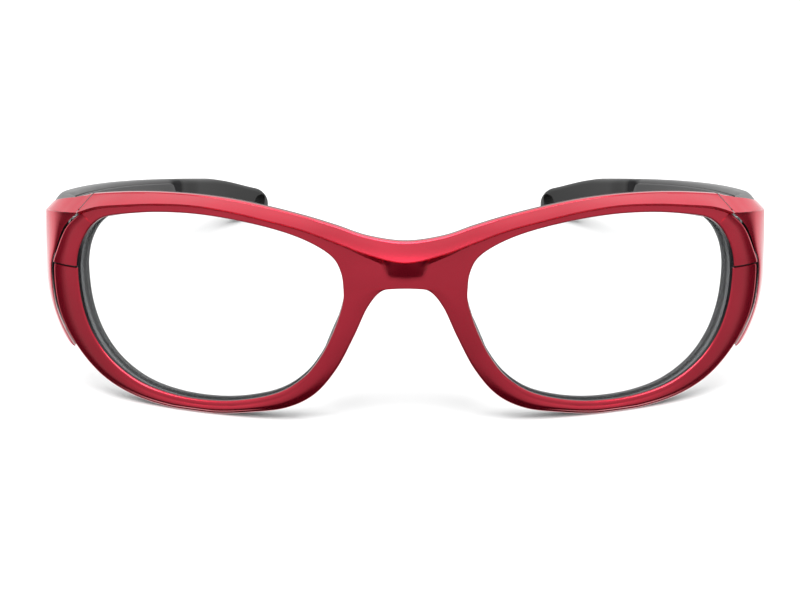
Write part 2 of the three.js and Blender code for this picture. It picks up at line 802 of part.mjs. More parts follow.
function frontLeafGeometry() {
  const plate = box([hingeX - 1.5, leafFace - leafWall, leafLow], [hingeX + 0.9, leafFace, leafHigh]);
  const knuckles = [
    [knuckleTop + joint, knuckleTop + joint + knuckleOuter],
    [knuckleFoot - joint - knuckleOuter, knuckleFoot - joint],
  ].flatMap(([low, high]) => [
    upright(knuckleRadius, axis, low, high),
    box([hingeX - 0.9, leafFace - 0.3, low], [hingeX + 0.9, hingeY, high]),
  ]);
  const holes = frontScrews.map((z) => screwAlongY(z, screwFit));
  return toGeometry(cutBy(joined([plate, ...knuckles]), [bore, ...holes]));
}

function templeScrew(back, gap) {
  const screw = screwShape(gap).rotateZ(Math.PI / 2);
  return screw.translate(armFace - seat - leafWall / 2, hingeY + back, hingeHeight);
}

function templeLeafGeometry() {
  const outer = armFace - seat;
  const inner = outer - leafWall;
  const neck = box([hingeX, hingeY - 0.5, knuckleFoot], [outer, hingeY + 0.6, knuckleTop]);
  const strap = box([inner, hingeY - 0.5, knuckleFoot], [outer, hingeY + 3, knuckleTop]);
  const plate = box([inner, hingeY + 2.2, hingeHeight - 3.2], [outer, hingeY + leafReach, hingeHeight + 3.2]);
  const knuckle = upright(knuckleRadius, axis, knuckleFoot, knuckleTop);
  const holes = templeScrews.map((back) => templeScrew(back, screwFit));
  return toGeometry(cutBy(joined([knuckle, neck, strap, plate]), [bore, ...holes]));
}

function pinGeometry() {
  const low = knuckleFoot - joint - knuckleOuter;
  const high = knuckleTop + joint + knuckleOuter + 0.1;
  const profile = [
    [0, low],
    [pinRadius, low],
    [pinRadius, high],
    [pinHead, high],
    [pinHead, high + 0.4],
    [pinHead * 0.7, high + 0.7],
    [0, high + 0.7],
  ];
  const points = profile.map(([r, z]) => new THREE.Vector2(r, z));
  return new THREE.LatheGeometry(points, 16).rotateX(Math.PI / 2).translate(...axis, 0);
}

// ---- The whole frame ----------------------------------------------------------------------

const finish = (color, roughness, metalness) =>
  new THREE.MeshStandardMaterial({ color, roughness, metalness });
const glossRed = finish("#a3101f", 0.22, 0.45);
const nylon = finish("#1a1a1b", 0.4, 0);
const satin = finish("#2f3031", 0.6, 0);
const rubber = finish("#121213", 0.75, 0);
const clear = finish("#eef3f4", 0.05, 0);
const steel = finish("#b9bbbd", 0.3, 0.9);

const group = new THREE.Group();

function addPiece(name, geometry, material) {
  const mesh = new THREE.Mesh(geometry, material);
  mesh.name = name;
  group.add(mesh);
}

function addPair(name, geometry, material) {
  addPiece(`${name}_left`, geometry, material);
  addPiece(`${name}_right`, mirrorGeometry(toGeometry(toSolid(geometry))), material);
}

const pair = (geometry) => {
  const plain = toGeometry(toSolid(geometry));
  return [plain, mirrorGeometry(plain)];
};
const lugs = [...pair(lugGeometry()), ...pair(padPost(0))];
const lugHoles = frontScrews.flatMap((z) => pair(screwAlongY(z, screwFit)));
const frame = cutBy(joined([frontFromLoops(ribs.map(frameLoop)), ...lugs]), lugHoles);
const armSolid = cutBy(
  toSolid(armGeometry()),
  templeScrews.map((back) => templeScrew(back, screwFit)),
);

addPiece("front_shell", frontFromLoops(ribs.map(shellLoop)), glossRed);
addPiece("inner_frame", toGeometry(frame), nylon);
addPair("lens", lensGeometry(), clear);
addPair("nose_pad", toGeometry(cutBy(toSolid(padGeometry()), [padPost(cutGap)])), rubber);
addPair("temple_cap", capGeometry(), glossRed);
addPair("temple_arm", toGeometry(armSolid), nylon);
addPair("temple_liner", linerGeometry(), satin);
addPair("ear_tip", tipGeometry(), rubber);
addPair("hinge_leaf_front", frontLeafGeometry(), steel);
addPair("hinge_leaf_temple", templeLeafGeometry(), steel);
addPair("hinge_pin", pinGeometry(), steel);
frontScrews.forEach((z, i) => addPair(`front_leaf_screw_${i + 1}`, screwAlongY(z, 0), steel));
templeScrews.forEach((back, i) => addPair(`temple_leaf_screw_${i + 1}`, templeScrew(back, 0), steel));

// The origin is at the middle of the footprint, on the surface that the frame stands on.
const extent = new THREE.Box3().setFromObject(group);
group.position.y = -(extent.min.y + extent.max.y) / 2;
group.position.z = -extent.min.z;

export default group;
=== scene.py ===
"""The looks of a wraparound dental loupe frame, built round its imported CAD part.

The frame has a glossy metallic red front with a crested brow, a thin black frame behind it that
holds two clear curved lenses, and black temples that fold on small steel hinges.

Shapes are worked out in millimetres in the maker's own frame, in which y is 0 at the front's
nearest point, and are moved into the CAD part's frame, in metres, as they are put into a mesh.
"""

import logging
import math
from dataclasses import dataclass, field
from enum import Enum
from typing import Callable, Sequence

import bmesh
import bpy
import numpy as np
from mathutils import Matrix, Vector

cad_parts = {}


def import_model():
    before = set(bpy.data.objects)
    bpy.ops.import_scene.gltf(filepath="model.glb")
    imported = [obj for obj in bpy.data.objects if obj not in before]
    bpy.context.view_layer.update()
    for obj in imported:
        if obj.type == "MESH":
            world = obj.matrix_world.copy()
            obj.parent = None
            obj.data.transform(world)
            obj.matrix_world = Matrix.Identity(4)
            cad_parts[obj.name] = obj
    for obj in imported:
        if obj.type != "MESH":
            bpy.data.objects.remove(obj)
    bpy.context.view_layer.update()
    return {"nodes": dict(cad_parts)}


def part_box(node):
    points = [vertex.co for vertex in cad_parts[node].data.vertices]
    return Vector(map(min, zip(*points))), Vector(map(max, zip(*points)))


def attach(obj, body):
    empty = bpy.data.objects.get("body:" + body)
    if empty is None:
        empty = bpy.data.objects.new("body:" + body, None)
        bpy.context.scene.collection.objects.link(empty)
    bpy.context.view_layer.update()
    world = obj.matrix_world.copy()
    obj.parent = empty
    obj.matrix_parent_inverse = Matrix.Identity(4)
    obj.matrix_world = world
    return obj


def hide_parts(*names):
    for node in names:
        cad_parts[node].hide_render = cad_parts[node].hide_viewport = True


log = logging.getLogger("loupe_frame")

Array = np.ndarray
MM = 0.001

# The left hinge's axis: across, behind the rim's outer edge, and up to its middle.
HINGE_ACROSS = 66.0
HINGE_SETBACK = 5.0
HINGE_HEIGHT = 28.0


# ---- Numbers and curves ---------------------------------------------------------------------


def mix(low: Array | float, high: Array | float, share: Array | float) -> Array | float:
    """Straight mixture: low where share is 0, high where it is 1."""
    return low + (high - low) * share


def smooth_step(value: Array | float, low: float, high: float) -> Array | float:
    """0 below low, 1 above high, and 3t^2 - 2t^3 between them."""
    t = np.clip((value - low) / (high - low), 0.0, 1.0)
    return t * t * (3.0 - 2.0 * t)


def smooth_line(points: Array, before: Array, after: Array, places: Array) -> Array:
    """Samples a Catmull-Rom curve through points.

    Args:
        points: The points passed through, one a row.
        before: The neighbour ahead of the first point.
        after: The neighbour behind the last point.
        places: Where to sample: a point's number, and a share of the span that follows it.

    Returns:
        One row for each place.
    """
    line = np.vstack([before, points, after])
    span = np.minimum(places.astype(int), len(points) - 2)
    t = (places - span)[:, None]
    a, b, c, d = (line[span + i] for i in range(4))
    return 0.5 * (
        2 * b + (c - a) * t + (2 * a - 5 * b + 4 * c - d) * t**2 + (3 * b - a - 3 * c + d) * t**3
    )


def quarter(count: int) -> Array:
    """Angles of a quarter turn, from 0 to 90 degrees."""
    return np.linspace(0.0, math.pi / 2, count)


# ---- Meshes -----------------------------------------------------------------------------------


def grid_faces(rows: int, columns: int, wrap_rows: bool, wrap_columns: bool) -> Array:
    """Quads of a grid of points stored row by row.

    Args:
        rows: Points along the first parameter.
        columns: Points along the second parameter.
        wrap_rows: Whether the last row joins the first.
        wrap_columns: Whether the last column joins the first.

    Returns:
        One row of four point numbers for each quad.
    """
    i = np.arange(rows if wrap_rows else rows - 1)[:, None]
    j = np.arange(columns if wrap_columns else columns - 1)[None, :]
    i2, j2 = (i + 1) % rows, (j + 1) % columns
    corners = [i * columns + j, i * columns + j2, i2 * columns + j2, i2 * columns + j]
    return np.stack(np.broadcast_arrays(*corners), axis=-1).reshape(-1, 4)


def loft(sections: Array) -> tuple[Array, Array]:
    """A tube through closed sections of an even number of points, with its ends closed.

    An end is closed by strips across, from one half of its loop to the other.

    Args:
        sections: Points, as (section, place round the loop, xyz).

    Returns:
        Points and quads.
    """
    count, around = sections.shape[:2]
    sides = grid_faces(count, around, False, True)
    j = np.arange(around // 2 - 1)
    strip = np.stack([j, j + 1, around - 2 - j, around - 1 - j], axis=-1)
    ends = [strip[:, ::-1], strip + (count - 1) * around]
    return sections.reshape(-1, 3), np.vstack([sides, *ends])


def block(low: Sequence[float], high: Sequence[float]) -> tuple[Array, Array]:
    """A box between two corners: its points and quads."""
    corners = np.stack(np.meshgrid(*zip(low, high), indexing="ij"), axis=-1).reshape(-1, 3)
    faces = [(0, 1, 3, 2), (4, 6, 7, 5), (0, 4, 5, 1), (2, 3, 7, 6), (0, 2, 6, 4), (1, 5, 7, 3)]
    return corners, np.array(faces)


@dataclass(frozen=True)
class Frame:
    """Moves a maker's point, in millimetres, into the CAD part's frame, in metres."""

    back: float

    def place(self, points: Array) -> Array:
        """Points in the CAD part's frame."""
        return (points + np.array([0.0, self.back, 0.0])) * MM


class Side(Enum):
    """The wearer's left is +X."""

    LEFT = 1
    RIGHT = -1

    @property
    def word(self) -> str:
        """The side's name, as it ends a piece's name."""
        return self.name.lower()


@dataclass
class Piece:
    """One object of the visual model, before it is put in the scene."""

    name: str
    points: Array
    faces: Array
    finish: "Finish"
    body: str
    replaces: tuple[str, ...] = ()
    sharp: float = 35.0
    edge: float = 0.0
    mask: Array | None = None
    padded: bool = False
    cut: tuple[Array, Array] | None = None

    def build(self, frame: Frame) -> bpy.types.Object:
        """Puts the piece in the scene, with its doubles merged and its faces pointing out.

        Args:
            frame: Where the maker's points go.

        Returns:
            The new object.
        """
        mesh = self.mesh(frame, self.name, self.points, self.faces, self.mask)
        thing = bpy.data.objects.new(self.name, mesh)
        bpy.context.scene.collection.objects.link(thing)
        if self.cut is not None:
            mesh = self.cut_through(thing, self.mesh(frame, "tool", *self.cut))
        mesh.shade_smooth()
        mesh.set_sharp_from_angle(angle=math.radians(self.sharp))
        if self.edge:
            bevel = thing.modifiers.new("rounded_edges", "BEVEL")
            bevel.width = self.edge * MM
            bevel.segments = 3
            bevel.limit_method = "ANGLE"
            bevel.angle_limit = math.radians(self.sharp)
        thing.data.materials.append(self.finish.material())
        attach(thing, self.body)
        if self.replaces:
            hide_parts(*self.replaces)
        log.info("%s: %d faces on %s", self.name, len(mesh.polygons), self.body)
        return thing


    @staticmethod
    def mesh(
        frame: Frame, name: str, points: Array, faces: Array, mask: Array | None = None
    ) -> bpy.types.Mesh:
        """A mesh of points and faces, with its doubles merged and its faces pointing out."""
        mesh = bpy.data.meshes.new(name)
        mesh.from_pydata(frame.place(points).tolist(), [], faces.tolist())
        if mask is not None:
            layer = mesh.attributes.new("mask", "FLOAT", "POINT")
            layer.data.foreach_set("value", mask.astype(np.float32))
        work = bmesh.new()
        work.from_mesh(mesh)
        bmesh.ops.remove_doubles(work, verts=work.verts, dist=2e-6)
        bmesh.ops.dissolve_degenerate(work, edges=work.edges, dist=1e-7)
        bmesh.ops.recalc_face_normals(work, faces=work.faces)
        work.to_mesh(mesh)
        work.free()
        return mesh

    @staticmethod
    def cut_through(thing: bpy.types.Object, tool_mesh: bpy.types.Mesh) -> bpy.types.Mesh:
        """Takes a tool's shape out of an object, and leaves it with the mesh that is left."""
        tool = bpy.data.objects.new("tool", tool_mesh)
        bpy.context.scene.collection.objects.link(tool)
        cutter = thing.modifiers.new("cut", "BOOLEAN")
        cutter.object = tool
        seen = thing.evaluated_get(bpy.context.evaluated_depsgraph_get())
        mesh = bpy.data.meshes.new_from_object(seen)
        thing.modifiers.clear()
        thing.data = mesh
        bpy.data.objects.remove(tool)
        return mesh


def mirrored_points(points: Array, side: Side) -> Array:
    """The same points on the asked side of the middle plane."""
    return points * np.array([side.value, 1.0, 1.0])


# ---- Shader expressions -----------------------------------------------------------------------


class Value:
    """A number that varies over a surface: a node's output with the operators of arithmetic."""

    def __init__(self, tree: "Tree", socket: bpy.types.NodeSocket) -> None:
        """Wraps a socket of a tree."""
        self.tree = tree
        self.socket = socket

    def _with(self, operation: str, left: object, right: object = 0.0) -> "Value":
        """Adds a Math node over two operands."""
        node = self.tree.node("ShaderNodeMath", {"operation": operation}, [left, right])
        return Value(self.tree, node.outputs[0])

    def __add__(self, other: object) -> "Value":
        """Sum."""
        return self._with("ADD", self, other)

    __radd__ = __add__

    def __sub__(self, other: object) -> "Value":
        """Difference."""
        return self._with("SUBTRACT", self, other)

    def __rsub__(self, other: object) -> "Value":
        """Difference, the other way round."""
        return self._with("SUBTRACT", other, self)

    def __mul__(self, other: object) -> "Value":
        """Product."""
        return self._with("MULTIPLY", self, other)

    __rmul__ = __mul__

    def between(self, low: float, high: float) -> "Value":
        """0 at low and 1 at high, straight between them and held outside."""
        settings = {"clamp": True}
        inputs = {"Value": self, "From Min": low, "From Max": high}
        node = self.tree.node("ShaderNodeMapRange", settings, inputs)
        return Value(self.tree, node.outputs[0])


class Tree:
    """The nodes of a material or of the world."""

    def __init__(self, owner: bpy.types.ID, output: str = "ShaderNodeOutputMaterial") -> None:
        """Starts an empty tree with its output."""
        owner.use_nodes = True
        self.nodes = owner.node_tree.nodes
        self.links = owner.node_tree.links
        self.nodes.clear()
        self.output = self.nodes.new(output)

    def node(
        self, kind: str, settings: dict[str, object] | None = None, inputs: object = None
    ) -> bpy.types.Node:
        """Adds one node.

        Args:
            kind: The node's type.
            settings: Its properties, set first; "stops" gives a ramp's (place, colour) pairs.
            inputs: Values or links for its sockets, by name, or in order as a list.

        Returns:
            The node.
        """
        node = self.nodes.new(kind)
        for key, value in (settings or {}).items():
            if key == "stops":
                self._stops(node.color_ramp, value)
            else:
                setattr(node, key, value)
        entries = inputs.items() if isinstance(inputs, dict) else enumerate(inputs or [])
        for key, value in entries:
            socket = node.inputs[key]
            if isinstance(value, Value):
                self.links.new(value.socket, socket)
            elif isinstance(value, bpy.types.NodeSocket):
                self.links.new(value, socket)
            else:
                socket.default_value = value
        return node

    @staticmethod
    def _stops(ramp: bpy.types.ColorRamp, stops: Sequence[tuple[float, tuple]]) -> None:
        """Sets a ramp's stops."""
        while len(ramp.elements) < len(stops):
            ramp.elements.new(0.5)
        for element, (place, colour) in zip(ramp.elements, stops):
            element.position = place
            element.color = colour

    def place(self) -> bpy.types.NodeSocket:
        """A point's place on the piece, in metres."""
        return self.node("ShaderNodeTexCoord").outputs["Object"]

    def noise(self, scale: float, detail: float = 2.0, stretch: Sequence[float] = (1, 1, 1)) -> Value:
        """Cloudy variation from 0 to 1.

        Args:
            scale: Clouds in a metre.
            detail: How many finer layers.
            stretch: Scale along each axis.

        Returns:
            The variation.
        """
        mapping = self.node("ShaderNodeMapping", None, {"Vector": self.place(), "Scale": stretch})
        inputs = {"Vector": mapping.outputs[0], "Scale": scale, "Detail": detail}
        return Value(self, self.node("ShaderNodeTexNoise", None, inputs).outputs["Fac"])

    def blend(self, share: Value, low: tuple, high: tuple) -> bpy.types.NodeSocket:
        """A colour from low, where share is 0, to high, where it is 1."""
        node = self.node("ShaderNodeMix", {"data_type": "RGBA"}, {0: share})
        node.inputs[6].default_value = low
        node.inputs[7].default_value = high
        return node.outputs[2]

    def greys(self, value: Value, stops: Sequence[tuple[float, float]]) -> Value:
        """A number read off a line through (place, level) stops."""
        ramp = {"stops": [(place, (level, level, level, 1.0)) for place, level in stops]}
        return Value(self, self.node("ShaderNodeValToRGB", ramp, [value]).outputs[0])

    def bump(self, height: Value, depth: float) -> bpy.types.NodeSocket:
        """A normal tilted by a height that varies over the surface, its depth in metres."""
        inputs = {"Height": height, "Distance": depth, "Strength": 1.0}
        return self.node("ShaderNodeBump", None, inputs).outputs[0]


# ---- Finishes ---------------------------------------------------------------------------------


@dataclass(frozen=True)
class Finish:
    """A finish and the record's material slot that it belongs to."""

    name: str
    slot: str

    def material(self) -> bpy.types.Material:
        """The finish's material, made once."""
        title = f"{self.name}_finish"
        found = bpy.data.materials.get(title)
        if found is not None:
            return found
        material = bpy.data.materials.new(title)
        self.dress(Tree(material))
        return material

    def dress(self, tree: Tree) -> None:
        """Adds the finish's nodes."""
        raise NotImplementedError


@dataclass(frozen=True)
class Lacquer(Finish):
    """Metallic lacquer under a clear gloss coat, with fine flake in it.

    Where a piece's mask is 1 the colour is near-black: behind its edges this is the bare black moulding
    under the lacquer, and in the fine groove under each outboard ledge it is painted shade.
    """

    deep: tuple = (0.56, 0.008, 0.034, 1.0)
    bright: tuple = (0.66, 0.013, 0.045, 1.0)
    # Near-black for bare moulding, also used as painted shade in the groove under each ledge.
    bare_and_shade: tuple = (0.006, 0.005, 0.006, 1.0)
    flake_scale: float = 9000.0
    cloud_scale: float = 60.0

    def dress(self, tree: Tree) -> None:
        """Colour shifts a little in clouds, and each flake tilts the surface its own way."""
        clouds = tree.noise(self.cloud_scale)
        flake = tree.noise(self.flake_scale, 1.0)
        # The mask turns the colour near-black: bare moulding behind edges, and painted shade in the ledge
        # groove.
        bare_and_shade = Value(tree, tree.node("ShaderNodeAttribute", {"attribute_name": "mask"}).outputs["Fac"])
        red = tree.blend(clouds.between(0.35, 0.65), self.deep, self.bright)
        colour = tree.node("ShaderNodeMix", {"data_type": "RGBA"}, {0: bare_and_shade, 6: red})
        colour.inputs[7].default_value = self.bare_and_shade
        shader = tree.node(
            "ShaderNodeBsdfPrincipled",
            None,
            {
                "Base Color": colour.outputs[2],
                "Metallic": (1.0 - bare_and_shade) * 0.92,
                "Roughness": flake * 0.08 + 0.16,
                "Coat Weight": 1.0 - bare_and_shade,
                "Coat Roughness": 0.025,
                "Normal": tree.bump(flake, 0.000004),
            },
        )
        tree.links.new(shader.outputs[0], tree.output.inputs[0])


@dataclass(frozen=True)
class Plastic(Finish):
    """Moulded plastic or rubber: a fine grain, with handling marks in its sheen."""

    deep: tuple = (0.006, 0.006, 0.007, 1.0)
    bright: tuple = (0.011, 0.011, 0.012, 1.0)
    roughness: float = 0.32
    spread: float = 0.12
    grain_scale: float = 4200.0
    grain_depth: float = 0.000006

    def dress(self, tree: Tree) -> None:
        """Grain tilts the surface, and broad clouds vary its sheen and colour."""
        clouds = tree.noise(90.0, 3.0)
        grain = tree.noise(self.grain_scale, 2.0)
        shader = tree.node(
            "ShaderNodeBsdfPrincipled",
            None,
            {
                "Base Color": tree.blend(clouds.between(0.3, 0.7), self.deep, self.bright),
                "Roughness": (clouds - 0.5) * self.spread + self.roughness,
                "Normal": tree.bump(grain, self.grain_depth),
            },
        )
        tree.links.new(shader.outputs[0], tree.output.inputs[0])


@dataclass(frozen=True)
class ClearLens(Finish):
    """Clear hard-coated plastic: see-through, a faint reflection, and a bright ground edge."""

    def dress(self, tree: Tree) -> None:
        """The ground edge, from the piece's mask, is cloudy, and the face is clear."""
        edge = Value(tree, tree.node("ShaderNodeAttribute", {"attribute_name": "mask"}).outputs["Fac"])
        haze = tree.noise(140.0, 2.0)
        shader = tree.node(
            "ShaderNodeBsdfPrincipled",
            None,
            {
                "Base Color": tree.blend(edge, (0.9, 0.93, 0.94, 1.0), (0.3, 0.31, 0.32, 1.0)),
                "Roughness": haze * 0.02 + edge * 0.3 + 0.03,
                "Alpha": edge * 0.5 + haze * 0.01 + 0.03,
            },
        )
        tree.links.new(shader.outputs[0], tree.output.inputs[0])


@dataclass(frozen=True)
class Steel(Finish):
    """Finely brushed steel, the brushing along its height."""

    def dress(self, tree: Tree) -> None:
        """Long thin noise varies the roughness and tilts the surface."""
        brushing = tree.noise(5000.0, 2.0, (1.0, 1.0, 0.06))
        shader = tree.node(
            "ShaderNodeBsdfPrincipled",
            None,
            {
                "Base Color": tree.blend(brushing, (0.42, 0.42, 0.43, 1.0), (0.62, 0.62, 0.63, 1.0)),
                "Metallic": 1.0,
                "Roughness": brushing * 0.15 + 0.25,
                "Normal": tree.bump(brushing, 0.000003),
            },
        )
        tree.links.new(shader.outputs[0], tree.output.inputs[0])


@dataclass(frozen=True)
class PaleFloor(Finish):
    """A plain pale surface to stand on."""

    def dress(self, tree: Tree) -> None:
        """Matt, the same all over."""
        shader = tree.node(
            "ShaderNodeBsdfPrincipled",
            None,
            {"Base Color": (0.9, 0.9, 0.9, 1.0), "Roughness": 0.9, "Specular IOR Level": 0.0},
        )
        tree.links.new(shader.outputs[0], tree.output.inputs[0])


RED = Lacquer("red_lacquer", "red_gloss")
NYLON = Plastic("black_nylon", "black_nylon")
SATIN = Plastic("satin_plastic", "dark_satin", (0.009, 0.009, 0.01, 1), (0.014, 0.014, 0.015, 1), 0.45)
RUBBER = Plastic("soft_rubber", "black_rubber", (0.006, 0.006, 0.006, 1), (0.012, 0.012, 0.012, 1), 0.5)
LENS = ClearLens("clear_lens", "clear_lens")
STEEL = Steel("brushed_steel", "steel")
FLOOR = PaleFloor("pale_floor", "")


# ---- The front --------------------------------------------------------------------------------


@dataclass(frozen=True)
class FaceCurve:
    """The sphere that the front and the lenses follow, in two halves joined by a flat bridge."""

    radius: float = 95.0
    flat: float = 10.0
    pole: float = 15.6

    def depth(self, x: Array, z: Array) -> Array:
        """How far behind its nearest point the curve is, at a place seen from the front."""
        across = np.maximum(np.abs(x) - self.flat, 0.0)
        return self.radius - np.sqrt(self.radius**2 - across**2 - (z - self.pole) ** 2)

    def behind(self, x: Array, z: Array, depth: Array) -> Array:
        """Points some way behind the curve, square to it as seen from above."""
        across = np.maximum(np.abs(x) - self.flat, 0.0)
        slope = np.sign(x) * across / (self.radius - self.depth(x, z))
        length = np.hypot(1.0, slope)
        return np.stack([x - depth * slope / length, self.depth(x, z) + depth / length, z], axis=-1)


@dataclass(frozen=True)
class Outline:
    """The lens opening's edge and the front's outer edge, on the wearer's left."""

    width: float = 53.7
    height: float = 37.4
    bridge: float = 23.4
    foot: float = 2.8
    steps: int = 10
    on_bridge: tuple[int, int] = (3, 2)
    ledge: float = 14.3
    side: float = 5.4

    def opening(self, shares: Array) -> Array:
        """Places at shares of the opening's width and height."""
        scale = np.array([self.width, self.height])
        return np.array([self.bridge / 2, self.foot]) + shares * scale

    def rim_stations(self) -> Array:
        """Opening edge as shares, and the outer edge from there, by the nose, foot and corner."""
        side = self.side
        return np.array(
            [
                [0.006, 0.663, 0, 0.0],
                [0.006, 0.604, 0.36, 1.8],
                [0.017, 0.535, 0.615, 1.1],
                [0.045, 0.422, -4.2, -0.6],
                [0.089, 0.294, -3.1, -2.6],
                [0.151, 0.176, -2.0, -3.7],
                [0.24, 0.083, -1.2, -3.4],
                [0.359, 0.027, -0.4, -2.8],
                [0.49, 0.0, 0, -self.foot],
                [0.639, 0.005, 0, -self.foot - 0.005 * self.height],
                [0.769, 0.048, 1.4, -3.3],
                [0.873, 0.139, 2.6, -3.6],
                [0.944, 0.267, 4.2, -2.8],
                [0.985, 0.422, side - 0.1, -2.0],
                [1.0, 0.594, side, -0.4],
                [0.993, 0.711, side - 0.7, -0.4],
                [0.97, 0.802, 4.0, 1.0],
                [0.935, 0.872, 2.7, 1.8],
            ]
        )

    def brow_stations(self) -> Array:
        """Opening edge as shares, then the crease and the brow's top edge from there."""
        return np.array(
            [
                [0.935, 0.872, 2.7, 1.8, 1.1, 5.2],
                [0.885, 0.922, 1.4, 1.75, 0.4, 4.1],
                [0.799, 0.957, 0.6, 1.7, 0.0, 3.7],
                [0.685, 0.987, 0.1, 1.7, -0.1, 3.3],
                [0.555, 1.0, -0.2, 1.75, -0.2, 3.1],
                [0.425, 0.992, -0.5, 1.6, -0.5, 3.1],
                [0.294, 0.965, -0.9, 1.4, -0.9, 3.1],
                [0.182, 0.925, -1.9, 1.35, -1.9, 3.2],
                [0.095, 0.872, -3.4, 1.2, -3.4, 3.55],
                [0.039, 0.813, 0.615, 1.2, 0.615, 3.8],
                [0.013, 0.738, 0, 2.6, 0, 5.65],
            ]
        )

    def _offset(self, edge: Array, away: Array, on_bridge: Array) -> Array:
        """Places some way from the opening's edge, or on the bridge at shares of its half width."""
        across = np.where(on_bridge, away[:, 0] * self.bridge / 2, edge[:, 0] + away[:, 0])
        return np.stack([across, edge[:, 1] + away[:, 1]], axis=-1)

    def ribs(self) -> "Ribs":
        """Ribs all round the opening: rim, then brow, then down the middle of the bridge."""
        rims, brows = self.rim_stations(), self.brow_stations()
        on_rim, on_brow = self.on_bridge
        rim_edge, brow_edge = self.opening(rims[:, :2]), self.opening(brows[:, :2])
        outer = self._offset(rim_edge, rims[:, 2:4], np.arange(len(rims)) < on_rim)
        bridge = np.arange(len(brows)) >= len(brows) - on_brow
        crease = self._offset(brow_edge, brows[:, 2:4], bridge)
        top = self._offset(brow_edge, brows[:, 4:6], bridge)
        flip = np.array([-1.0, 1.0])
        even = lambda spans: np.arange(spans * self.steps + 1) / self.steps
        near_ledge = self.ledge + np.array([-0.14, -0.1, -0.08, -0.06, -0.04, -0.02, 0.015, 0.05])
        on_rims = np.sort(np.append(even(len(rims) - 1), near_ledge))
        on_brows, down = even(len(brows) - 1), even(1)
        rim_edges = smooth_line(rim_edge, brow_edge[-1], brow_edge[1], on_rims)
        outers = smooth_line(outer, outer[1] * flip, outer[-1], on_rims)
        outers[:, 1] = np.maximum(outers[:, 1], 0.0)
        brow_edges = smooth_line(brow_edge, rim_edge[-2], rim_edge[0], on_brows)
        creases = smooth_line(crease, crease[0], crease[-2] * flip, on_brows)
        tops = smooth_line(top, top[0], top[-2] * flip, on_brows)
        ends = np.vstack([brow_edge[-1], rim_edge[0]])
        middle_edges = smooth_line(ends, brow_edge[-2], rim_edge[1], down)
        middles = mix(crease[-1], outer[0], down[:, None])
        kinds = [len(rim_edges), len(brow_edges), len(middle_edges)]
        above = np.concatenate([on_rims - self.ledge, np.full(kinds[1] + kinds[2], -1.0)])
        return Ribs(
            edge=np.vstack([rim_edges, brow_edges, middle_edges]),
            crease=np.vstack([outers, creases, middles]),
            top=np.vstack([outers, tops, middles]),
            rim=np.repeat([1.0, 0.0, 0.0], kinds)[:, None],
            brow=np.repeat([0.0, 1.0, 0.0], kinds)[:, None],
            above=above[:, None],
        )


@dataclass(frozen=True)
class Ribs:
    """Lines across the front, from the opening's edge to the crease and on to the brow's top."""

    edge: Array
    crease: Array
    top: Array
    rim: Array
    brow: Array
    above: Array

    @property
    def width(self) -> Array:
        """From the opening's edge to the crease, or to the rim's outer edge."""
        return np.linalg.norm(self.crease - self.edge, axis=1)[:, None]

    @property
    def facet(self) -> Array:
        """From the crease to the brow's top edge, or 1 on the rim, which has none."""
        return np.where(self.brow > 0, np.linalg.norm(self.top - self.crease, axis=1)[:, None], 1.0)

    def at(self, across: Array) -> Array:
        """Places on the ribs: 0 to 1 from the edge to the crease, 1 to 2 on to the top."""
        low = np.minimum(across, 1.0)[..., None]
        high = np.maximum(across - 1.0, 0.0)[..., None]
        edge, crease, top = (line[:, None, :] for line in (self.edge, self.crease, self.top))
        return mix(edge, crease, low) + (top - crease) * high

    def crease_height(self, x: Array) -> Array:
        """Height of the crease above each place across the front."""
        brow = self.brow[:, 0] > 0
        line = self.crease[brow]
        order = np.argsort(line[:, 0])
        return np.interp(np.abs(x), line[order, 0], line[order, 1])


def front_mesh(loops: Array) -> tuple[Array, Array]:
    """A ring of equal loops round each opening, the two joined on the middle plane.

    Quads that lie on the middle plane are dropped, and the rest are repeated on the other side.

    Args:
        loops: Points, as (rib, place round the loop, xyz).

    Returns:
        Points and quads.
    """
    ribs, around = loops.shape[:2]
    points = loops.reshape(-1, 3)
    faces = grid_faces(ribs, around, True, True)
    on_middle = (np.abs(points[faces][:, :, 0]) < 1e-6).all(axis=1)
    faces = faces[~on_middle]
    other = mirrored_points(points, Side.RIGHT)
    return np.vstack([points, other]), np.vstack([faces, faces[:, ::-1] + len(points)])


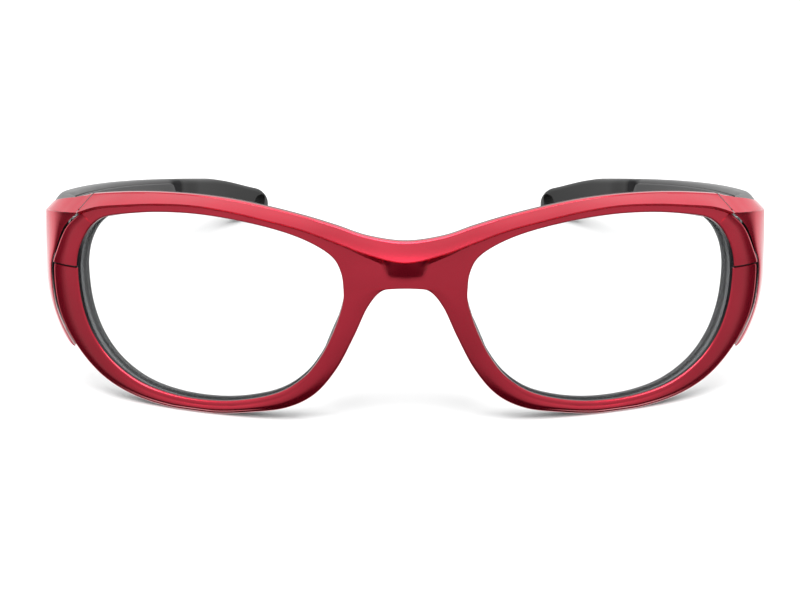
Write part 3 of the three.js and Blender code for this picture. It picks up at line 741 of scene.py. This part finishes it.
@dataclass
class Front:
    """The red front, the black frame behind it, and the lenses."""

    curve: FaceCurve = field(default_factory=FaceCurve)
    outline: Outline = field(default_factory=Outline)
    wall: float = 1.1
    crest: float = 0.9
    crest_nose: float = 0.7
    brow_lean: float = 1.9
    brow_back: float = 2.7
    seat: float = 0.2
    lens_wall: float = 1.3
    lens_hold: float = 0.9
    lip_wall: float = 1.0
    rail: float = 2.0
    rail_fall: float = 0.9
    ledge_height: float = 0.4
    seam_fill: float = 0.2
    nose_peek: float = 1.0
    pad_middle: tuple = (12.89, 8.0, 16.24)
    pad_length: float = 17.5
    pad_width: float = 7.6
    pad_wall: float = 2.4
    pad_lean: float = 0.42
    pad_flare: float = 14.0
    lug_low: tuple = (-1.6, -5.1, -6.8)
    lug_high: tuple = (0.9, -2.7, 6.8)

    def __post_init__(self) -> None:
        """Works out the ribs once."""
        self.ribs = self.outline.ribs()

    def points(self, across: Array, depth: Array) -> Array:
        """Points on the ribs at depths behind the curve."""
        place = self.ribs.at(across)
        return self.curve.behind(place[..., 0], place[..., 1], depth)

    def crest_at(self, x: Array) -> Array:
        """How far the crest stands forward: more over the nose."""
        return self.crest + self.crest_nose * (1.0 - smooth_step(np.abs(x), 0.0, 1.3 * self.curve.flat))

    def relief(self, across: Array) -> Array:
        """How far the front's face leaves the curve.

        Below the crease it slants forward to the crest, over a band that is tall at the nose and
        thin elsewhere. Outboard, the upper half of the rim stands proud of the lower half.

        Args:
            across: Places on the ribs, from 0 to 1.

        Returns:
            Depths, less than 0 where the face stands forward.
        """
        ribs = self.ribs
        place = ribs.at(across)
        x, z = place[..., 0], place[..., 1]
        band = mix(3.6, 1.2, smooth_step(np.abs(x), 3.2, 4.6))
        band = mix(band, 0.45, smooth_step(np.abs(x), 4.6, 11.5))
        below = np.clip((ribs.crease_height(x) - z) / band, 0.0, 1.0)
        slant = -self.crest_at(x) * (1.0 - below) * (1.0 - ribs.rim)
        rise = smooth_step(ribs.above, -0.02, 0.02) * (1.0 - smooth_step(ribs.above, 0.3, 2.2))
        return slant - self.ledge_height * rise + 0.3 * self.groove()

    def groove(self) -> Array:
        """1 in the fine groove under the ledge of each outboard rim, 0 away from it; the shell cuts the
        groove in and paints it near-black as painted shade.
        """
        return np.clip(1.0 - np.abs(self.ribs.above + 0.05) / 0.05, 0.0, 1.0)

    def shell(self) -> Piece:
        """The red front: bevelled opening, crowned rim, crest, facet and rounded edges."""
        ribs = self.ribs
        width, facet = ribs.width, ribs.facet
        x = np.abs(ribs.crease[:, :1])
        low = smooth_step(ribs.above, -11.0, -8.0) * (1.0 - smooth_step(ribs.above, -5.0, -2.0))
        inner = mix(0.35, 0.95, ribs.rim * low)
        inner_deep = mix(0.35, 0.7, ribs.rim * low)
        turn = quarter(6)[None, :]
        bevel = (inner / width * (1 - np.cos(turn)), inner_deep * (1 - np.sin(turn)))
        outer = 0.6 * ribs.rim
        share = np.linspace(0.0, 1.0, 44)[None, 1:-1]
        face_across = mix(inner / width, 1.0 - outer / width, share)
        face = (face_across, mix(-0.12, -0.34, low) * ribs.rim * np.sin(math.pi * share))
        edge_across = 1.0 - outer / width * (1 - np.sin(turn))
        edge = (edge_across, outer * (1 - np.cos(turn)))
        across = np.hstack([part[0] for part in (bevel, face, edge)])
        depth = np.hstack([part[1] for part in (bevel, face, edge)]) + self.relief(across)
        crest = -self.crest_at(x)
        closed = outer
        soft = 0.18 / facet
        ease = np.linspace(0.0, 1.0, 4)[None, :]
        nose = (1.0 + soft * ease**2, mix(crest + 0.1, crest + 0.02, ease))
        run = np.linspace(0.0, 1.0, 12)[None, 1:-1]
        lean = (
            mix(1.0 + soft, 2.0 - soft, run),
            mix(crest + 0.02, self.brow_lean - 0.12, run) - 0.14 * np.sin(math.pi * run),
        )
        top = (
            2.0 - soft * (1 - np.sin(turn)),
            self.brow_lean - 0.12 + 0.3 * (1 - np.cos(turn)),
        )
        back = (np.full((1, 1), 2.0), np.full((1, 1), self.brow_back))
        shape = [np.broadcast_arrays(a, d, x) for a, d in (nose, lean, top, back)]
        upper_across = np.hstack([part[0] for part in shape])
        upper_depth = np.hstack([part[1] for part in shape])
        count = upper_depth.shape[1]
        flat_depth = mix(closed, self.wall, (np.arange(count) + 1.0)[None, :] / (count + 1.0))
        upper_depth = mix(flat_depth, upper_depth, ribs.brow)
        rear = np.broadcast_to([[1.0, 0.5, 0.0]], (len(x), 3))
        rear_depth = np.full((len(x), 3), self.wall)
        loops = self.points(
            np.hstack([across, upper_across, rear]), np.hstack([depth, upper_depth, rear_depth])
        )
        points, faces = front_mesh(loops)
        bare_and_shade = [np.zeros((1, across.shape[1])), 1.0 - ribs.brow * np.ones((1, count)), np.ones((1, 3))]
        # Painted shade: the groove under each outboard ledge is coloured near-black, where the ledge would
        # shade it.
        bare_and_shade[0] = np.maximum(bare_and_shade[0], (self.groove() > 0.3) * 1.0)
        bare_and_shade[0][:, 0] = 1.0
        bare_and_shade[1][:, -1] = 1.0
        mask = np.hstack([np.broadcast_to(part, (len(x), part.shape[1])) for part in bare_and_shade]).reshape(-1)
        return Piece(
            "red_front", points, faces, RED, "front", ("front_shell",), sharp=38.0, mask=np.tile(mask, 2)
        )

    def black_frame(self) -> Piece:
        """The black frame: a rebate for the lens, a rear lip, and a rail behind the brow."""
        ribs = self.ribs
        width = ribs.width
        lens_front = self.wall + self.seat
        lip_front = lens_front + self.lens_wall + self.seat
        lip_back = lip_front + self.lip_wall
        hold = (self.lens_hold + self.seat) / width
        zero = np.zeros_like(width)
        soft = 0.22
        turn = quarter(5)[None, :]
        lip_top = (soft / width * (1 - np.cos(turn)), lip_front + soft * (1 - np.sin(turn)))
        rebate = (np.hstack([hold, hold]), np.hstack([zero + lip_front, zero + lens_front]))
        seam = smooth_step(ribs.above, -4.0, -3.4) * ribs.rim * self.seam_fill / width
        nose = smooth_step(ribs.above, -12.8, -11.6) * (1.0 - smooth_step(ribs.above, -8.4, -7.0))
        peek = ribs.rim * self.nose_peek * nose / width
        outer = (
            np.hstack([zero + 0.6, 1.0 + 0.2 * seam, 1.0 + 0.2 * seam, 1.0 + seam, 1.0 + seam + peek]),
            np.hstack([zero + lens_front, zero + lens_front, zero + 0.75, zero + 0.65, zero + lens_front]),
        )
        outer = (outer[0], np.where(ribs.above > -4.0, outer[1], lens_front))
        low = [lip_top, rebate, outer]
        across = np.hstack([np.broadcast_to(a, (len(width), a.shape[1])) for a, _ in low])
        depth = np.hstack([np.broadcast_to(d, (len(width), d.shape[1])) for _, d in low])
        rail_front = self.brow_back + self.seat
        rail_back = rail_front + self.rail
        count = 13
        share = np.linspace(0.0, 1.0, count)[None, :]
        rail_depth = mix(rail_front, rail_back, share)
        shoulder = 0.25 * (1 - np.sqrt(1 - (1 - np.minimum(share / 0.12, 1.0)) ** 2))
        rise = -self.rail_fall * share**1.4 - shoulder
        flat = mix(lens_front, lip_back, (np.arange(count) + 1.0)[None, :] / (count + 1.0))
        rail_depth = mix(flat, rail_depth, ribs.brow)
        rise = rise * ribs.brow
        place = ribs.at(np.full((len(width), count), 2.0))
        peeking = ribs.at(np.broadcast_to(1.0 + peek, rise.shape))
        place = np.where(ribs.brow[..., None] > 0, place, peeking)
        rail = self.curve.behind(place[..., 0], place[..., 1] + rise, rail_depth)
        rear = quarter(4)[None, ::-1]
        rear_across = np.hstack([zero + 1.0, zero + 0.55, soft / width * (1 - np.cos(rear))])
        rear_round = lip_back - soft * (1 - np.sin(rear)) + zero
        rear_depth = np.hstack([zero + lip_back, zero + lip_back, rear_round])
        loops = np.concatenate(
            [self.points(across, depth), rail, self.points(rear_across, rear_depth)], axis=1
        )
        points, faces = front_mesh(loops)
        return Piece("black_frame", points, faces, NYLON, "front", ("inner_frame",), sharp=38.0)

    def lens(self, side: Side) -> Piece:
        """A lens: rings from its middle to its outline at two depths, with a rounded edge."""
        ribs = self.ribs
        outline = ribs.at(self.lens_hold / ribs.width)[:, 0, :]
        middle = self.outline.opening(np.array([0.5, 0.5]))
        rings = np.concatenate([np.linspace(0.0, 0.96, 22), np.linspace(0.975, 1.0, 4)])
        soft = 0.2 * np.clip((rings - 0.985) / 0.015, 0.0, 1.0) ** 2
        front = self.wall + self.seat
        place = mix(middle, outline[:, None, :], rings[None, :, None])
        shape = place.shape[:2]
        x, z = place[..., 0], place[..., 1]
        near = self.curve.behind(x, z, np.broadcast_to(front + soft, shape))
        far = self.curve.behind(x, z, np.broadcast_to(front + self.lens_wall - soft, shape))
        loops = np.concatenate([near, far[:, ::-1]], axis=1)
        faces = grid_faces(loops.shape[0], loops.shape[1], True, False)
        mask = np.clip((rings - 0.985) / 0.01, 0.0, 1.0)
        masks = np.broadcast_to(np.concatenate([mask, mask[::-1]]), loops.shape[:2])
        points = mirrored_points(loops.reshape(-1, 3), side)
        name = f"lens_{side.word}"
        return Piece(f"clear_{name}", points, faces, LENS, "front", (name,), mask=masks.reshape(-1))

    def lug(self, side: Side, hinge: Array) -> Piece:
        """The black lug behind a corner that the hinge's front leaf is screwed to."""
        points, faces = block(hinge + np.array(self.lug_low), hinge + np.array(self.lug_high))
        placed = mirrored_points(points, side)
        return Piece(f"hinge_lug_{side.word}", placed, faces, NYLON, "front", edge=0.35)

    def pad_post(self, side: Side) -> Piece:
        """The post behind the nasal rim that a pad is pushed onto, turned with the pad."""
        turn = math.radians(self.pad_flare)
        middle = np.array(self.pad_middle)
        root = (middle[1] - 4.0 + 0.6) / math.cos(turn)
        points, faces = block((-0.6, -root, -1.5), (0.6, 1.6, 1.5))
        c, s = math.cos(turn), math.sin(turn)
        turned = points @ np.array([[c, -s, 0], [s, c, 0], [0, 0, 1]]) + middle
        placed = mirrored_points(turned, side)
        return Piece(f"pad_post_{side.word}", placed, faces, NYLON, "front", edge=0.3)

    def pad(self, side: Side) -> Piece:
        """A nose pad: a long soft bean, its sections flat ovals that close at both ends."""
        turn = math.radians(self.pad_flare)
        drop = self.pad_length / math.hypot(1.0, self.pad_lean)
        along = -np.cos(np.linspace(0.04, math.pi - 0.04, 44))[:, None]
        round_turn = np.linspace(0.0, 2 * math.pi, 40, endpoint=False)[None, :]
        size = np.sqrt(1 - np.abs(along) ** 2.6)
        across = np.cos(round_turn) * self.pad_width * size / 2
        out = np.sin(round_turn) * self.pad_wall * np.sqrt(size) / 2
        down = along * drop / 2 + 0.0 * round_turn
        x = across * math.sin(turn) + out * math.cos(turn) + down * self.pad_lean
        y = across * math.cos(turn) - out * math.sin(turn)
        points, faces = loft(np.stack([x, y, -down], axis=-1) + np.array(self.pad_middle))
        node = f"nose_pad_{side.word}"
        placed = mirrored_points(points, side)
        return Piece(f"soft_{node}", placed, faces, RUBBER, "front", (node,), padded=True)

    def pieces(self, hinge: Array) -> list[Piece]:
        """Everything on the front.

        Args:
            hinge: Where the left hinge's axis is, at its middle height.
        """
        both = [(self.lens(s), self.lug(s, hinge), self.pad_post(s), self.pad(s)) for s in Side]
        return [self.shell(), self.black_frame(), *(piece for pieces in both for piece in pieces)]


# ---- Temples ----------------------------------------------------------------------------------


@dataclass(frozen=True)
class TempleLine:
    """A temple's outer line: straight past the cap, then an arc towards the head, falling away."""

    side: float = 72.6
    hinge: float = 28.0
    rim: float = 23.0
    straight: float = 2.8
    bow: float = 212.0
    top: float = 38.65
    fall: float = 0.19
    droop: float = 0.00045
    arm_height: float = 7.6
    cap_foot: float = 9.2

    def plan(self, along: Array) -> tuple[Array, Array, Array]:
        """The line seen from above.

        Args:
            along: Distances behind the hinge.

        Returns:
            Where it is across and back, and the angle that it has turned inward.
        """
        turn = np.maximum(0.0, along - self.straight) / self.bow
        x = self.side - self.bow * (1 - np.cos(turn))
        y = self.hinge + np.minimum(along, self.straight) + self.bow * np.sin(turn)
        return x, y, turn

    def high(self, y: Array) -> Array:
        """Height of the top edge."""
        back = np.maximum(0.0, y - self.rim)
        return self.top - self.fall * back - self.droop * back**2

    def low(self, y: Array) -> Array:
        """Height of the lower edge: the tall front end sweeps up to the slim arm."""
        slim = self.high(y) - self.arm_height
        return mix(self.cap_foot, slim, smooth_step(y, self.rim - 2.0, self.rim + 23.0))

    def sections(self, along: Array, shape: Array) -> Array:
        """Puts sections on the line.

        Args:
            along: Distance of each section behind the hinge.
            shape: Depth into the temple and height, as (section, place round it, 2).

        Returns:
            Points, as (section, place round it, xyz).
        """
        x, y, turn = (part[:, None] for part in self.plan(along))
        depth, height = shape[..., 0], np.maximum(shape[..., 1], 0.0)
        return np.stack([x - depth * np.cos(turn), y - depth * np.sin(turn), height], axis=-1)


def rounded(
    outer: Array, inner: Array, low: Array, high: Array, radius: Array, shoulder: Array | None = None
) -> Array:
    """Box sections with round corners, as (section, place round it, depth and height).

    Each corner is a quarter circle about a point one radius in from both sides; the shoulder, the
    outer top corner, may have a radius of its own.

    Args:
        outer: Depth of the outer side, for each section.
        inner: Depth of the inner side.
        low: Height of the underside.
        high: Height of the top.
        radius: Radius of the corners.
        shoulder: Radius of the outer top corner, or None for the same.

    Returns:
        Depths and heights round each section.
    """
    sizes = (outer, inner, low, high, radius, radius if shoulder is None else shoulder)
    outer, inner, low, high, radius, shoulder = (part[:, None] for part in np.broadcast_arrays(*sizes))
    turn = quarter(6)[None, :]
    c, s = 1 - np.cos(turn), 1 - np.sin(turn)
    depth = np.hstack([outer + shoulder * c, inner - radius * s, inner - radius * c, outer + radius * s])
    height = np.hstack([high - shoulder * s, high - radius * c, low + radius * s, low + radius * c])
    return np.stack([depth, height], axis=-1)


@dataclass
class Temple:
    """One temple: red cap, arm, the liner on its inner face, and the ear tip."""

    side: Side
    line: TempleLine
    front: Front
    wall: float = 4.6
    rear_wall: float = 3.6
    liner_wall: float = 1.0
    liner_start: float = 14.0
    liner_end: float = 86.0
    tip_start: float = 88.0
    tip_end: float = 128.04
    tip_wall: float = 4.2
    tip_drop: float = 2.4
    tip_sag: float = 2.4
    slot_inset: float = 4.6
    slot_drop: float = 5.2
    slot_height: float = 3.4
    tongue: float = 14.0
    cap_wall: float = 1.8
    turn_share: float = 0.75
    roof_across: tuple = (63.3, 64.7, 66.7, 69.7, 70.9, 72.0)
    roof_heights: tuple = (40.2, 39.6, 39.2, 39.0, 38.8, 37.2)
    roof_fall: float = 0.335
    roof_depth: float = 24.0
    seam_gap: float = 0.26
    seat: float = 0.2

    @property
    def body(self) -> str:
        """The body that turns on the hinge."""
        return f"{self.side.word}_temple"

    def piece(self, name: str, points: Array, faces: Array, finish: Finish, **options: object) -> Piece:
        """A piece that rides on this temple and replaces the CAD node of its name."""
        node = f"{name}_{self.side.word}"
        placed = mirrored_points(points, self.side)
        title = f"{finish.name}_{node}"
        return Piece(title, placed, faces, finish, self.body, (node,), **options)

    def arm_wall(self, along: Array) -> Array:
        """Thickness of the arm and its liner together."""
        return mix(self.wall, self.rear_wall, smooth_step(along, 20.0, self.tip_start))

    def arm(self) -> Piece:
        """The arm: a neck inside the cap, the tall front end, the slim run, and a tongue."""
        line = self.line
        along = np.concatenate([line.straight + 0.3 + np.linspace(0, 12, 20), np.linspace(16, 88, 60)])
        _, y, _ = line.plan(along)
        cut = self.liner_wall + self.seat
        cut *= smooth_step(along, self.liner_start - 1, self.liner_start + 1) - smooth_step(
            along, self.liner_end, self.tip_start
        )
        inner = self.arm_wall(along) - cut
        end = np.minimum(1.0, (along - along[0]) / 0.35)
        soft = 0.3 * (1 - np.sqrt(1 - (1 - end) ** 2))
        low = line.low(y) + soft
        high = line.high(y) - soft - 1.1 * (1.0 - smooth_step(along, 3.0, 20.0))
        shoulder = mix(2.6, 0.95, smooth_step(along, 4.0, 22.0))
        body = line.sections(along, rounded(soft, inner - soft, low, high, 0.95, shoulder))
        tongue = self.tip_start + np.array([0.3, self.tongue / 2, self.tongue])
        _, y, _ = line.plan(tongue)
        low, high = line.high(y) - line.arm_height + 1.8, line.high(y) - 1.8
        tail = line.sections(tongue, rounded(1.2, self.rear_wall - 1.0, low, high, 0.3))
        points, faces = loft(np.concatenate([body, tail]))
        neck, neck_faces = loft(self.neck())
        return self.piece(
            "temple_arm",
            np.vstack([points, neck]),
            np.vstack([faces, neck_faces + len(points)]),
            NYLON,
        )

    def neck(self) -> Array:
        """Sections of the arm's front end, its top leaning in as the cap's roof does."""
        along = np.array([0.2, 2.8, self.line.straight + 0.6])
        _, y, _ = self.line.plan(along)
        high = self.line.high(y) - 1.9
        outer, inner, low = self.cap_wall + 0.3, self.wall, 20.5
        ones = np.ones_like(high)
        depth = [outer, outer, outer + 2.0, inner - 0.2, inner, inner, inner - 0.4, outer + 0.4]
        height = [low + 0.4, high - 3.6, high, high, high - 0.4, low + 0.4, low, low]
        shape = np.stack(
            [np.stack([d * ones, h * ones], axis=-1) for d, h in zip(depth, height)], axis=1
        )
        return self.line.sections(along, shape)

    def liner(self) -> Piece:
        """The satin liner on the inner face, with softened edges."""
        along = np.linspace(self.liner_start + 1.5, self.liner_end - 0.5, 60)
        _, y, _ = self.line.plan(along)
        inner = self.arm_wall(along)
        low = np.maximum(self.line.low(y), self.line.high(y) - self.line.arm_height) + 0.7
        end = np.minimum(1.0, np.minimum(along - along[0], along[-1] - along) / 2.5)
        trim = 2.2 * (1 - np.sqrt(1 - (1 - end) ** 2))
        high = self.line.high(y) - 0.9 - trim
        shape = rounded(inner - self.liner_wall, inner, low + trim, high, 0.25)
        points, faces = loft(self.line.sections(along, shape))
        return self.piece("temple_liner", points, faces, SATIN)

    def tip(self) -> Piece:
        """The ear tip: deeper towards its round end, with a sunk slot for a retainer."""
        start = self.tip_start + 0.3
        share = np.concatenate([np.linspace(0, 0.8, 50), 0.8 + 0.2 * np.sin(quarter(20)[1:])])
        along = mix(start, self.tip_end, share)
        _, y, _ = self.line.plan(along)
        from_end = np.clip((self.tip_end - along) / 5.0, 0.004, 1.0)
        round_end = np.sqrt(1 - (1 - from_end) ** 2)
        drop = self.tip_drop * smooth_step(along, self.tip_start + 20, self.tip_end - 10)
        high = self.line.high(y) - self.tip_sag * smooth_step(along, self.tip_start + 16, self.tip_end + 2)
        low = self.line.high(y) - self.line.arm_height - drop
        middle = mix(low, high, 0.42)
        wall = mix(self.rear_wall, self.tip_wall, smooth_step(along, self.tip_start, self.tip_start + 8))
        wall_round = mix(0.5, 1.0, round_end)
        outer = wall * (1 - wall_round) / 2
        begin = 0.12 * (1 - np.sqrt(1 - (1 - np.minimum(1.0, (along - start) / 0.9)) ** 2))
        shape = rounded(
            outer + begin,
            wall - outer - begin,
            mix(middle, low, round_end) + begin,
            mix(middle, high, round_end) - begin,
            np.maximum(1.05 * wall_round * round_end, 0.02),
        )
        points, faces = loft(self.line.sections(along, shape))
        return self.piece("ear_tip", points, faces, RUBBER, cut=self.slot())

    def slot(self) -> tuple[Array, Array]:
        """The tool that cuts the retainer slot: a rod of a long round section, across the tip."""
        half, radius = 0.6, self.slot_height / 2
        turn = np.linspace(0.0, 2 * math.pi, 48, endpoint=False)
        along = radius * np.cos(turn) + half * np.sign(np.cos(turn))
        height = radius * np.sin(turn)
        x, y, bend = self.line.plan(np.array(self.tip_end - self.slot_inset))
        z = self.line.high(y) - self.slot_drop
        rows = []
        for depth in (-3.0, self.tip_wall + 3.0):
            across = x - depth * math.cos(bend) - along * math.sin(bend)
            back = y - depth * math.sin(bend) + along * math.cos(bend)
            rows.append(np.stack([across, back, z + height], axis=-1))
        points, faces = loft(np.stack(rows))
        return mirrored_points(points, self.side), faces

    def seam_at(self, height: Array) -> Array:
        """The front's outer edge at a height, which the cap's edge follows."""
        ribs = self.front.ribs
        rim = ribs.rim[:, 0] > 0
        line = ribs.crease[rim]
        line = line[(line[:, 0] > 61.0) & (line[:, 1] > self.line.cap_foot - 4)]
        first = ribs.top[ribs.brow[:, 0] > 0][:1]
        line = np.vstack([line, first])
        order = np.argsort(line[:, 1])
        return np.interp(height, line[order, 1], line[order, 0])

    def cap_path(self, height: Array, lean: Array, band: Array | float = 0.0) -> Array:
        """Places across the cap's outer face: along the front, round the corner, back.

        Args:
            height: Height of each place, as (row, column).
            lean: 0 on the wall, to 1 at the top of the leaning facet.
            band: 1 at the crease and 0 away below it, where the wall runs back to the rim's line.

        Returns:
            Points across and back, as (row, column, 2).
        """
        count = height.shape[1]
        share = np.linspace(0.0, 1.0, count)[None, :]
        side = self.line.side - 4.5 * (np.maximum(0.0, 23.0 - height) / 15.0) ** 2
        start = self.seam_at(height) + self.seam_gap
        begin = self.front.curve.depth(start, height)
        offset = self.front.brow_lean * lean - self.front.crest * (1.0 - lean) * band
        room = side - start
        rear = self.line.hinge + 2.5
        end = np.minimum(begin + 0.9 * room + 3.0, rear - 0.5)
        pull = mix(0.5, 0.7, smooth_step(room, 1.5, 6.0))
        first = self.front.curve.behind(start, height, offset)[..., :2]
        corner = first + np.stack([pull * room, 0.86 * pull * room - 0.4 * offset], axis=-1)
        last = np.stack([side - 1.6 * lean * np.minimum(1.0, room / 3.0), end], axis=-1)
        t = np.clip(share / self.turn_share, 0.0, 1.0)[..., None]
        curved = first * (1 - t) ** 2 + corner * 2 * t * (1 - t) + last * t**2
        back = np.clip((share - self.turn_share) / (1.0 - self.turn_share), 0.0, 1.0)
        depth = mix(curved[..., 1], rear, back)
        return np.stack([curved[..., 0], depth], axis=-1)

    def cap(self) -> Piece:
        """The cap: a wall that tucks in below, a crease, a leaning facet and a soft roof edge."""
        columns = 49
        share = np.linspace(0.0, 1.0, columns)
        turned = np.clip(share / self.turn_share, 0.0, 1.0)
        level = np.full((1, columns), HINGE_HEIGHT)
        path = self.cap_path(level, np.zeros_like(level))[0]
        top = self.cap_path(level + 9.0, np.ones_like(level))[0]
        roof = np.interp(top[:, 0], self.roof_across, self.roof_heights)
        roof = roof - self.roof_fall * (top[:, 1] - self.roof_depth)
        crease = roof - mix(3.3, 1.6, turned**0.7)
        foot = self.line.low(path[:, 1])
        wall_rows = np.append(np.linspace(0.0, 0.985, 28), [0.989, 1.0])
        facet_rows = np.linspace(0.0, 1.0, 9)[1:]
        rise = np.concatenate([wall_rows, np.ones(len(facet_rows))])[:, None]
        lean = np.concatenate([np.zeros(len(wall_rows)), facet_rows])[:, None]
        height = mix(foot, crease, rise) + (roof - crease) * lean
        lean = np.broadcast_to(lean, height.shape)
        band = np.clip(1.0 - (crease - height) / 0.3, 0.0, 1.0)
        outside = self.cap_path(height, lean, band)
        ahead = np.stack([-np.sin(turned * math.pi / 2), np.cos(turned * math.pi / 2)], axis=-1)
        depth = mix(self.cap_wall, 1.5, lean[..., None])
        inside = outside + ahead[None] * depth
        fall = self.line.fall * (inside[..., 1] - outside[..., 1]) * lean
        outer_points = np.concatenate([outside, height[..., None]], axis=-1)
        inner_points = np.concatenate([inside, (height - fall)[..., None]], axis=-1)
        points, faces = loft(np.concatenate([outer_points, inner_points[:, ::-1]], axis=1))
        bare_and_shade = np.tile(np.repeat([0.0, 1.0], columns), len(outside))
        return self.piece("temple_cap", points, faces, RED, sharp=24.0, edge=0.2, mask=bare_and_shade)

    def pieces(self) -> list[Piece]:
        """Everything on the temple."""
        return [self.cap(), self.arm(), self.liner(), self.tip()]


# ---- The scene --------------------------------------------------------------------------------


@dataclass(frozen=True)
class Studio:
    """Pale floor, soft light from above, and a long lens a little above the frame."""

    distance: float = 0.5
    lift: float = 18.5
    aim_height: float = 0.0256
    aim_side: float = -0.00106
    focal: float = 116.9
    white: float = 1.15
    front_levels: tuple = (
        (0.0, 0.0),
        (0.13, 0.02),
        (0.2, 0.22),
        (0.26, 0.36),
        (0.42, 0.44),
        (0.5, 0.5),
        (1.0, 0.8),
    )
    side_levels: tuple = ((0.0, 0.0), (0.4, 0.02), (0.5, 0.05), (0.62, 0.1), (0.75, 0.7), (1.0, 0.9))

    def camera(self, front: float) -> None:
        """Puts the camera in front of the frame, looking level across and down on it.

        Args:
            front: Where the front's nearest point is, along Y.
        """
        lift = math.radians(self.lift)
        data = bpy.data.cameras.new("camera")
        data.lens = self.focal
        data.sensor_width = 36.0
        data.clip_start = 0.01
        camera = bpy.data.objects.new("camera", data)
        camera.location = (
            self.aim_side,
            front - self.distance * math.cos(lift),
            self.aim_height + self.distance * math.sin(lift),
        )
        camera.rotation_euler = (math.pi / 2 - lift, 0.0, 0.0)
        bpy.context.scene.collection.objects.link(camera)
        bpy.context.scene.camera = camera

    def floor(self) -> None:
        """A wide pale floor that the frame stands on."""
        half = 4.0
        mesh = bpy.data.meshes.new("floor")
        corners = [(-half, -half, 0), (half, -half, 0), (half, half, 0), (-half, half, 0)]
        mesh.from_pydata(corners, [], [(0, 1, 2, 3)])
        mesh.materials.append(FLOOR.material())
        floor = bpy.data.objects.new("floor", mesh)
        floor.visible_glossy = False
        bpy.context.scene.collection.objects.link(floor)

    def lamp(self, name: str, place: tuple, aim: tuple, size: tuple, radiance: float) -> None:
        """A soft rectangular light.

        Args:
            name: What to call it.
            place: Its middle, in metres.
            aim: The point it faces.
            size: Its width and height.
            radiance: How bright its face is, against a white of 1.
        """
        data = bpy.data.lights.new(name, "AREA")
        data.shape = "RECTANGLE"
        data.size, data.size_y = size
        data.energy = radiance * math.pi * size[0] * size[1]
        lamp = bpy.data.objects.new(name, data)
        toward = np.array(aim, float) - np.array(place, float)
        flat = math.hypot(toward[0], toward[1])
        turn = math.atan2(toward[1], toward[0]) - math.pi / 2
        lamp.rotation_euler = (math.atan2(flat, -toward[2]), 0.0, turn)
        lamp.location = place
        bpy.context.scene.collection.objects.link(lamp)

    def world(self) -> None:
        """A white studio that glossy pieces see as graded: dim in front, dark sides, white behind.

        Matt pieces, the floor and the view itself get plain white.
        """
        world = bpy.data.worlds.new("studio")
        bpy.context.scene.world = world
        tree = Tree(world, "ShaderNodeOutputWorld")
        place = tree.node("ShaderNodeTexCoord").outputs["Generated"]
        split = tree.node("ShaderNodeSeparateXYZ", None, [place])
        ahead, up = (Value(tree, split.outputs[axis]) for axis in "YZ")
        front = tree.greys(up.between(-1.0, 1.0), self.front_levels)
        sides = tree.greys(up.between(-1.0, 1.0), self.side_levels)
        turned = front + (sides - front) * ahead.between(-0.16, -0.02)
        seen = turned + (self.white - turned) * ahead.between(0.16, 0.42)
        glossy = Value(tree, tree.node("ShaderNodeLightPath").outputs["Is Glossy Ray"])
        level = glossy * (seen - self.white) + self.white
        sky = tree.node("ShaderNodeBackground", None, {"Color": level})
        tree.links.new(sky.outputs[0], tree.output.inputs["Surface"])

    def light(self) -> None:
        """The world, and a softbox over the front."""
        self.world()
        self.lamp("overhead", (0.0, -0.32, 0.62), (0.0, -0.04, 0.03), (0.8, 0.4), 3.8)
        bpy.context.scene.view_settings.view_transform = "Standard"


def dress_carried_nodes(nodes: dict[str, bpy.types.Object]) -> None:
    """Gives every CAD node its finish, by what its name starts with."""
    finishes = {
        "front_shell": RED,
        "inner_frame": NYLON,
        "lens": LENS,
        "nose_pad": RUBBER,
        "temple_cap": RED,
        "temple_arm": NYLON,
        "temple_liner": SATIN,
        "ear_tip": RUBBER,
        "hinge": STEEL,
        "front_leaf_screw": STEEL,
        "temple_leaf_screw": STEEL,
    }
    for name, node in nodes.items():
        finish = next(finish for start, finish in finishes.items() if name.startswith(start))
        node.data.materials.clear()
        node.data.materials.append(finish.material())


def main() -> None:
    """Builds the frame's looks and its studio."""
    logging.basicConfig(level=logging.INFO, format="%(message)s")
    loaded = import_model()
    front = Front()
    hinge_low, hinge_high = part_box("hinge_pin_left")
    rim_edge = front.outline.bridge / 2 + front.outline.width + front.outline.side
    rim_depth = float(front.curve.depth(np.array(rim_edge), np.array(HINGE_HEIGHT)))
    hinge_depth = rim_depth + HINGE_SETBACK
    back = (hinge_low.y + hinge_high.y) / 2 / MM - hinge_depth
    frame = Frame(back)
    studio = Studio()
    studio.camera(back * MM)
    dress_carried_nodes(loaded["nodes"])
    line = TempleLine(hinge=hinge_depth, rim=rim_depth)
    temples = [Temple(side, line, front) for side in Side]
    hinge = np.array([HINGE_ACROSS, hinge_depth, HINGE_HEIGHT])
    for piece in [*front.pieces(hinge), *(piece for temple in temples for piece in temple.pieces())]:
        piece.build(frame)
    studio.floor()
    studio.light()


if __name__ == "__main__":
    main()
